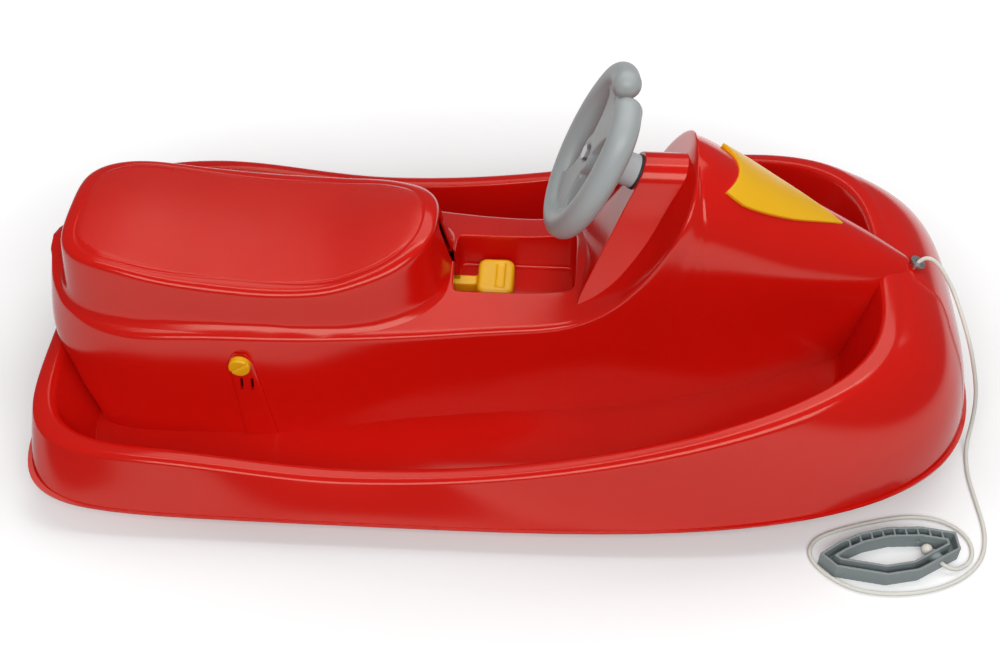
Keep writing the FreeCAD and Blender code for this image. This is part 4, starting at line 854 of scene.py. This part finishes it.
# %% Materials
def plastic(name, colour, roughness, peel=0.02, cloud=0.06, sheen=(1.0, 1.0, 1.0)):
    """Moulded plastic: clouded colour, uneven gloss, an orange-peel skin and the tint of its reflections."""
    material = bpy.data.materials.new(name)
    material.use_nodes = True
    tree = material.node_tree
    shader = tree.nodes["Principled BSDF"]
    place = tree.nodes.new("ShaderNodeTexCoord")
    big = tree.nodes.new("ShaderNodeTexNoise")
    big.inputs["Scale"].default_value = 7.0
    big.inputs["Detail"].default_value = 4.0
    tint = tree.nodes.new("ShaderNodeMix")
    tint.data_type = "RGBA"
    tint.inputs["A"].default_value = (*[c * (1 - cloud) for c in colour], 1)
    tint.inputs["B"].default_value = (*[min(1, c * (1 + cloud)) for c in colour], 1)
    rub = tree.nodes.new("ShaderNodeTexNoise")
    rub.inputs["Scale"].default_value = 38.0
    rub.inputs["Detail"].default_value = 6.0
    gloss = tree.nodes.new("ShaderNodeMapRange")
    gloss.inputs["To Min"].default_value = roughness * 0.82
    gloss.inputs["To Max"].default_value = roughness * 1.18
    fine = tree.nodes.new("ShaderNodeTexNoise")
    fine.inputs["Scale"].default_value = 420.0
    fine.inputs["Detail"].default_value = 2.0
    bump = tree.nodes.new("ShaderNodeBump")
    bump.inputs["Strength"].default_value = peel
    bump.inputs["Distance"].default_value = 0.001
    link = tree.links.new
    for noise in (big, rub, fine):
        link(place.outputs["Object"], noise.inputs["Vector"])
    link(big.outputs["Fac"], tint.inputs["Factor"])
    link(tint.outputs["Result"], shader.inputs["Base Color"])
    link(rub.outputs["Fac"], gloss.inputs["Value"])
    link(gloss.outputs["Result"], shader.inputs["Roughness"])
    link(fine.outputs["Fac"], bump.inputs["Height"])
    link(bump.outputs["Normal"], shader.inputs["Normal"])
    shader.inputs["Specular Tint"].default_value = (*sheen, 1)
    return material


def paint(material, *pieces):
    for piece in pieces:
        piece.data.materials.clear()
        piece.data.materials.append(material)


WARM = (1.0, 0.80, 0.66)
red = plastic("red_moulding", (0.60, 0.006, 0.003), 0.15, sheen=WARM)
red_satin = plastic("red_satin", (0.60, 0.008, 0.004), 0.42, peel=0.08, sheen=WARM)
yellow = plastic("yellow_moulding", (0.83, 0.44, 0.006), 0.32)
wheel_grey = plastic("wheel_moulding", (0.36, 0.385, 0.385), 0.42, peel=0.05)
silver = plastic("hub_moulding", (0.46, 0.48, 0.49), 0.38, peel=0.03)
dark = plastic("dark_moulding", (0.02, 0.02, 0.022), 0.5)
handle_grey = plastic("handle_moulding", (0.24, 0.28, 0.285), 0.5, peel=0.05)
white = plastic("rope_cord", (0.74, 0.73, 0.66), 0.8, peel=0.3)
steel = plastic("zinc_steel", (0.45, 0.45, 0.46), 0.4)
steel.node_tree.nodes["Principled BSDF"].inputs["Metallic"].default_value = 1.0
print("materials", len(bpy.data.materials))

# %% [markdown]
# ## Painting
# Each piece gets its material. The seat has two: its top is satin inside the moulded line, so those faces
# are found by their place and take the second one. A construction node that still shows takes the finish of
# its slot.

# %% Painting
SEAT_LINE = 19
paint(red, hull, cowl, seat, dash, *tabs)
seat.data.materials.append(red_satin)


def on_cushion(center, normal):
    """Whether a face lies inside the line round the seat's top."""
    rear, front, half = lerp(SEAT_LOW, SEAT_HIGH, (center.z - SEAT_LOW_Z) / (SEAT_HIGH_Z - SEAT_LOW_Z))
    middle = (rear + front) / 2
    reach, power = front - middle, SEAT_BOW_POWER
    if center.x < middle:
        reach, power = middle - rear, SEAT_STERN_POWER
    along, across = (center.x - middle) / (reach - SEAT_LINE), center.y / (half - SEAT_LINE)
    share = abs(along) ** power + abs(across) ** power
    return normal.z > 0.5 and share < 1


print("satin faces", select_faces(seat, on_cushion))
for face in seat.data.polygons:
    face.material_index = 1 if face.select else 0
paint(yellow, panel, lever, *knobs)
paint(wheel_grey, wheel)
paint(handle_grey, handle)
paint(white, tow_rope)
KEPT = {
    "red_plastic": red, "yellow_plastic": yellow, "wheel_grey": wheel_grey, "hub_silver": silver,
    "dark_plastic": dark, "handle_grey": handle_grey, "steel": steel, "fin_black": dark, "rope": white,
}
for entry in frame["record"]["subparts"]:
    node = nodes[entry["node"]]
    if not node.hide_render:
        node.material_slots[0].material = KEPT[entry["material_slot"]]

# %% [markdown]
# ## Floor
# The photo has a white ground, a broad soft light from above and another over the camera. The floor adds a
# little light of its own, to the camera and in reflections only and more of it further out, so that it is
# white away from the sled and still takes its shadow.

# %% Floor
bpy.ops.object.select_all(action="DESELECT")
bpy.ops.mesh.primitive_plane_add(size=14, location=(0, 0, -0.0005))
ground = bpy.context.object
ground.name = "studio_floor"
floor_look = bpy.data.materials.new("studio_floor_look")
floor_look.use_nodes = True
tree = floor_look.node_tree
tree.nodes.clear()
out = tree.nodes.new("ShaderNodeOutputMaterial")
bounce = tree.nodes.new("ShaderNodeBsdfDiffuse")
bounce.inputs["Color"].default_value = (0.42, 0.42, 0.42, 1)
paper = tree.nodes.new("ShaderNodeBsdfDiffuse")
paper.inputs["Color"].default_value = (0.80, 0.80, 0.80, 1)
place = tree.nodes.new("ShaderNodeTexCoord")
narrow = tree.nodes.new("ShaderNodeMapping")
narrow.inputs["Scale"].default_value = (0.8, 1.15, 1.0)
away = tree.nodes.new("ShaderNodeVectorMath")
away.operation = "LENGTH"
fade = tree.nodes.new("ShaderNodeMapRange")
fade.inputs["From Min"].default_value = 0.42
fade.inputs["From Max"].default_value = 0.95
fade.inputs["To Min"].default_value = 0.12
fade.inputs["To Max"].default_value = 0.60
glow = tree.nodes.new("ShaderNodeEmission")
tree.links.new(place.outputs["Object"], narrow.inputs["Vector"])
tree.links.new(narrow.outputs["Vector"], away.inputs[0])
tree.links.new(away.outputs["Value"], fade.inputs["Value"])
tree.links.new(fade.outputs["Result"], glow.inputs["Strength"])
seen = tree.nodes.new("ShaderNodeAddShader")
ray = tree.nodes.new("ShaderNodeLightPath")
glossy = tree.nodes.new("ShaderNodeMath")
glossy.operation = "MAXIMUM"
through = tree.nodes.new("ShaderNodeMath")
through.operation = "MAXIMUM"
choice = tree.nodes.new("ShaderNodeMixShader")
tree.links.new(paper.outputs[0], seen.inputs[0])
tree.links.new(glow.outputs[0], seen.inputs[1])
tree.links.new(ray.outputs["Is Camera Ray"], glossy.inputs[0])
tree.links.new(ray.outputs["Is Glossy Ray"], glossy.inputs[1])
tree.links.new(glossy.outputs[0], through.inputs[0])
tree.links.new(ray.outputs["Is Transmission Ray"], through.inputs[1])
tree.links.new(through.outputs[0], choice.inputs["Fac"])
tree.links.new(bounce.outputs[0], choice.inputs[1])
tree.links.new(seen.outputs[0], choice.inputs[2])
tree.links.new(choice.outputs[0], out.inputs["Surface"])
ground.data.materials.append(floor_look)
print("floor nodes", len(tree.nodes))

# %% [markdown]
# ## Light
# A thin strip above draws the long highlights, a box behind lights the top, and a large one over the camera
# fills the side that the photo shows. They are kept at a plain level, so each colour renders about as it is
# written.

# %% Light
world = bpy.data.worlds.new("studio_world")
bpy.context.scene.world = world
world.use_nodes = True
world.node_tree.nodes["Background"].inputs["Color"].default_value = (1, 1, 1, 1)
world.node_tree.nodes["Background"].inputs["Strength"].default_value = 0.20


def soft_box(name, place, aim, size, power):
    bpy.ops.object.light_add(type="AREA", location=place)
    lamp = bpy.context.object
    lamp.name = name
    lamp.data.shape = "RECTANGLE"
    lamp.data.size, lamp.data.size_y = size
    lamp.data.energy = power
    lamp.rotation_euler = (Vector(aim) - Vector(place)).to_track_quat("-Z", "Y").to_euler()


soft_box("strip_box", (0.0, 0.15, 2.1), (0, 0, 0.1), (2.2, 0.22), 6)
soft_box("top_box", (0.5, 1.1, 2.6), (0, 0, 0.1), (3.2, 1.8), 30)
soft_box("front_box", (0.2, -2.3, 2.2), (0, 0, 0.1), (3.0, 1.6), 66)
bpy.context.scene.view_settings.view_transform = "Standard"
print("lamps", len(bpy.data.lights))
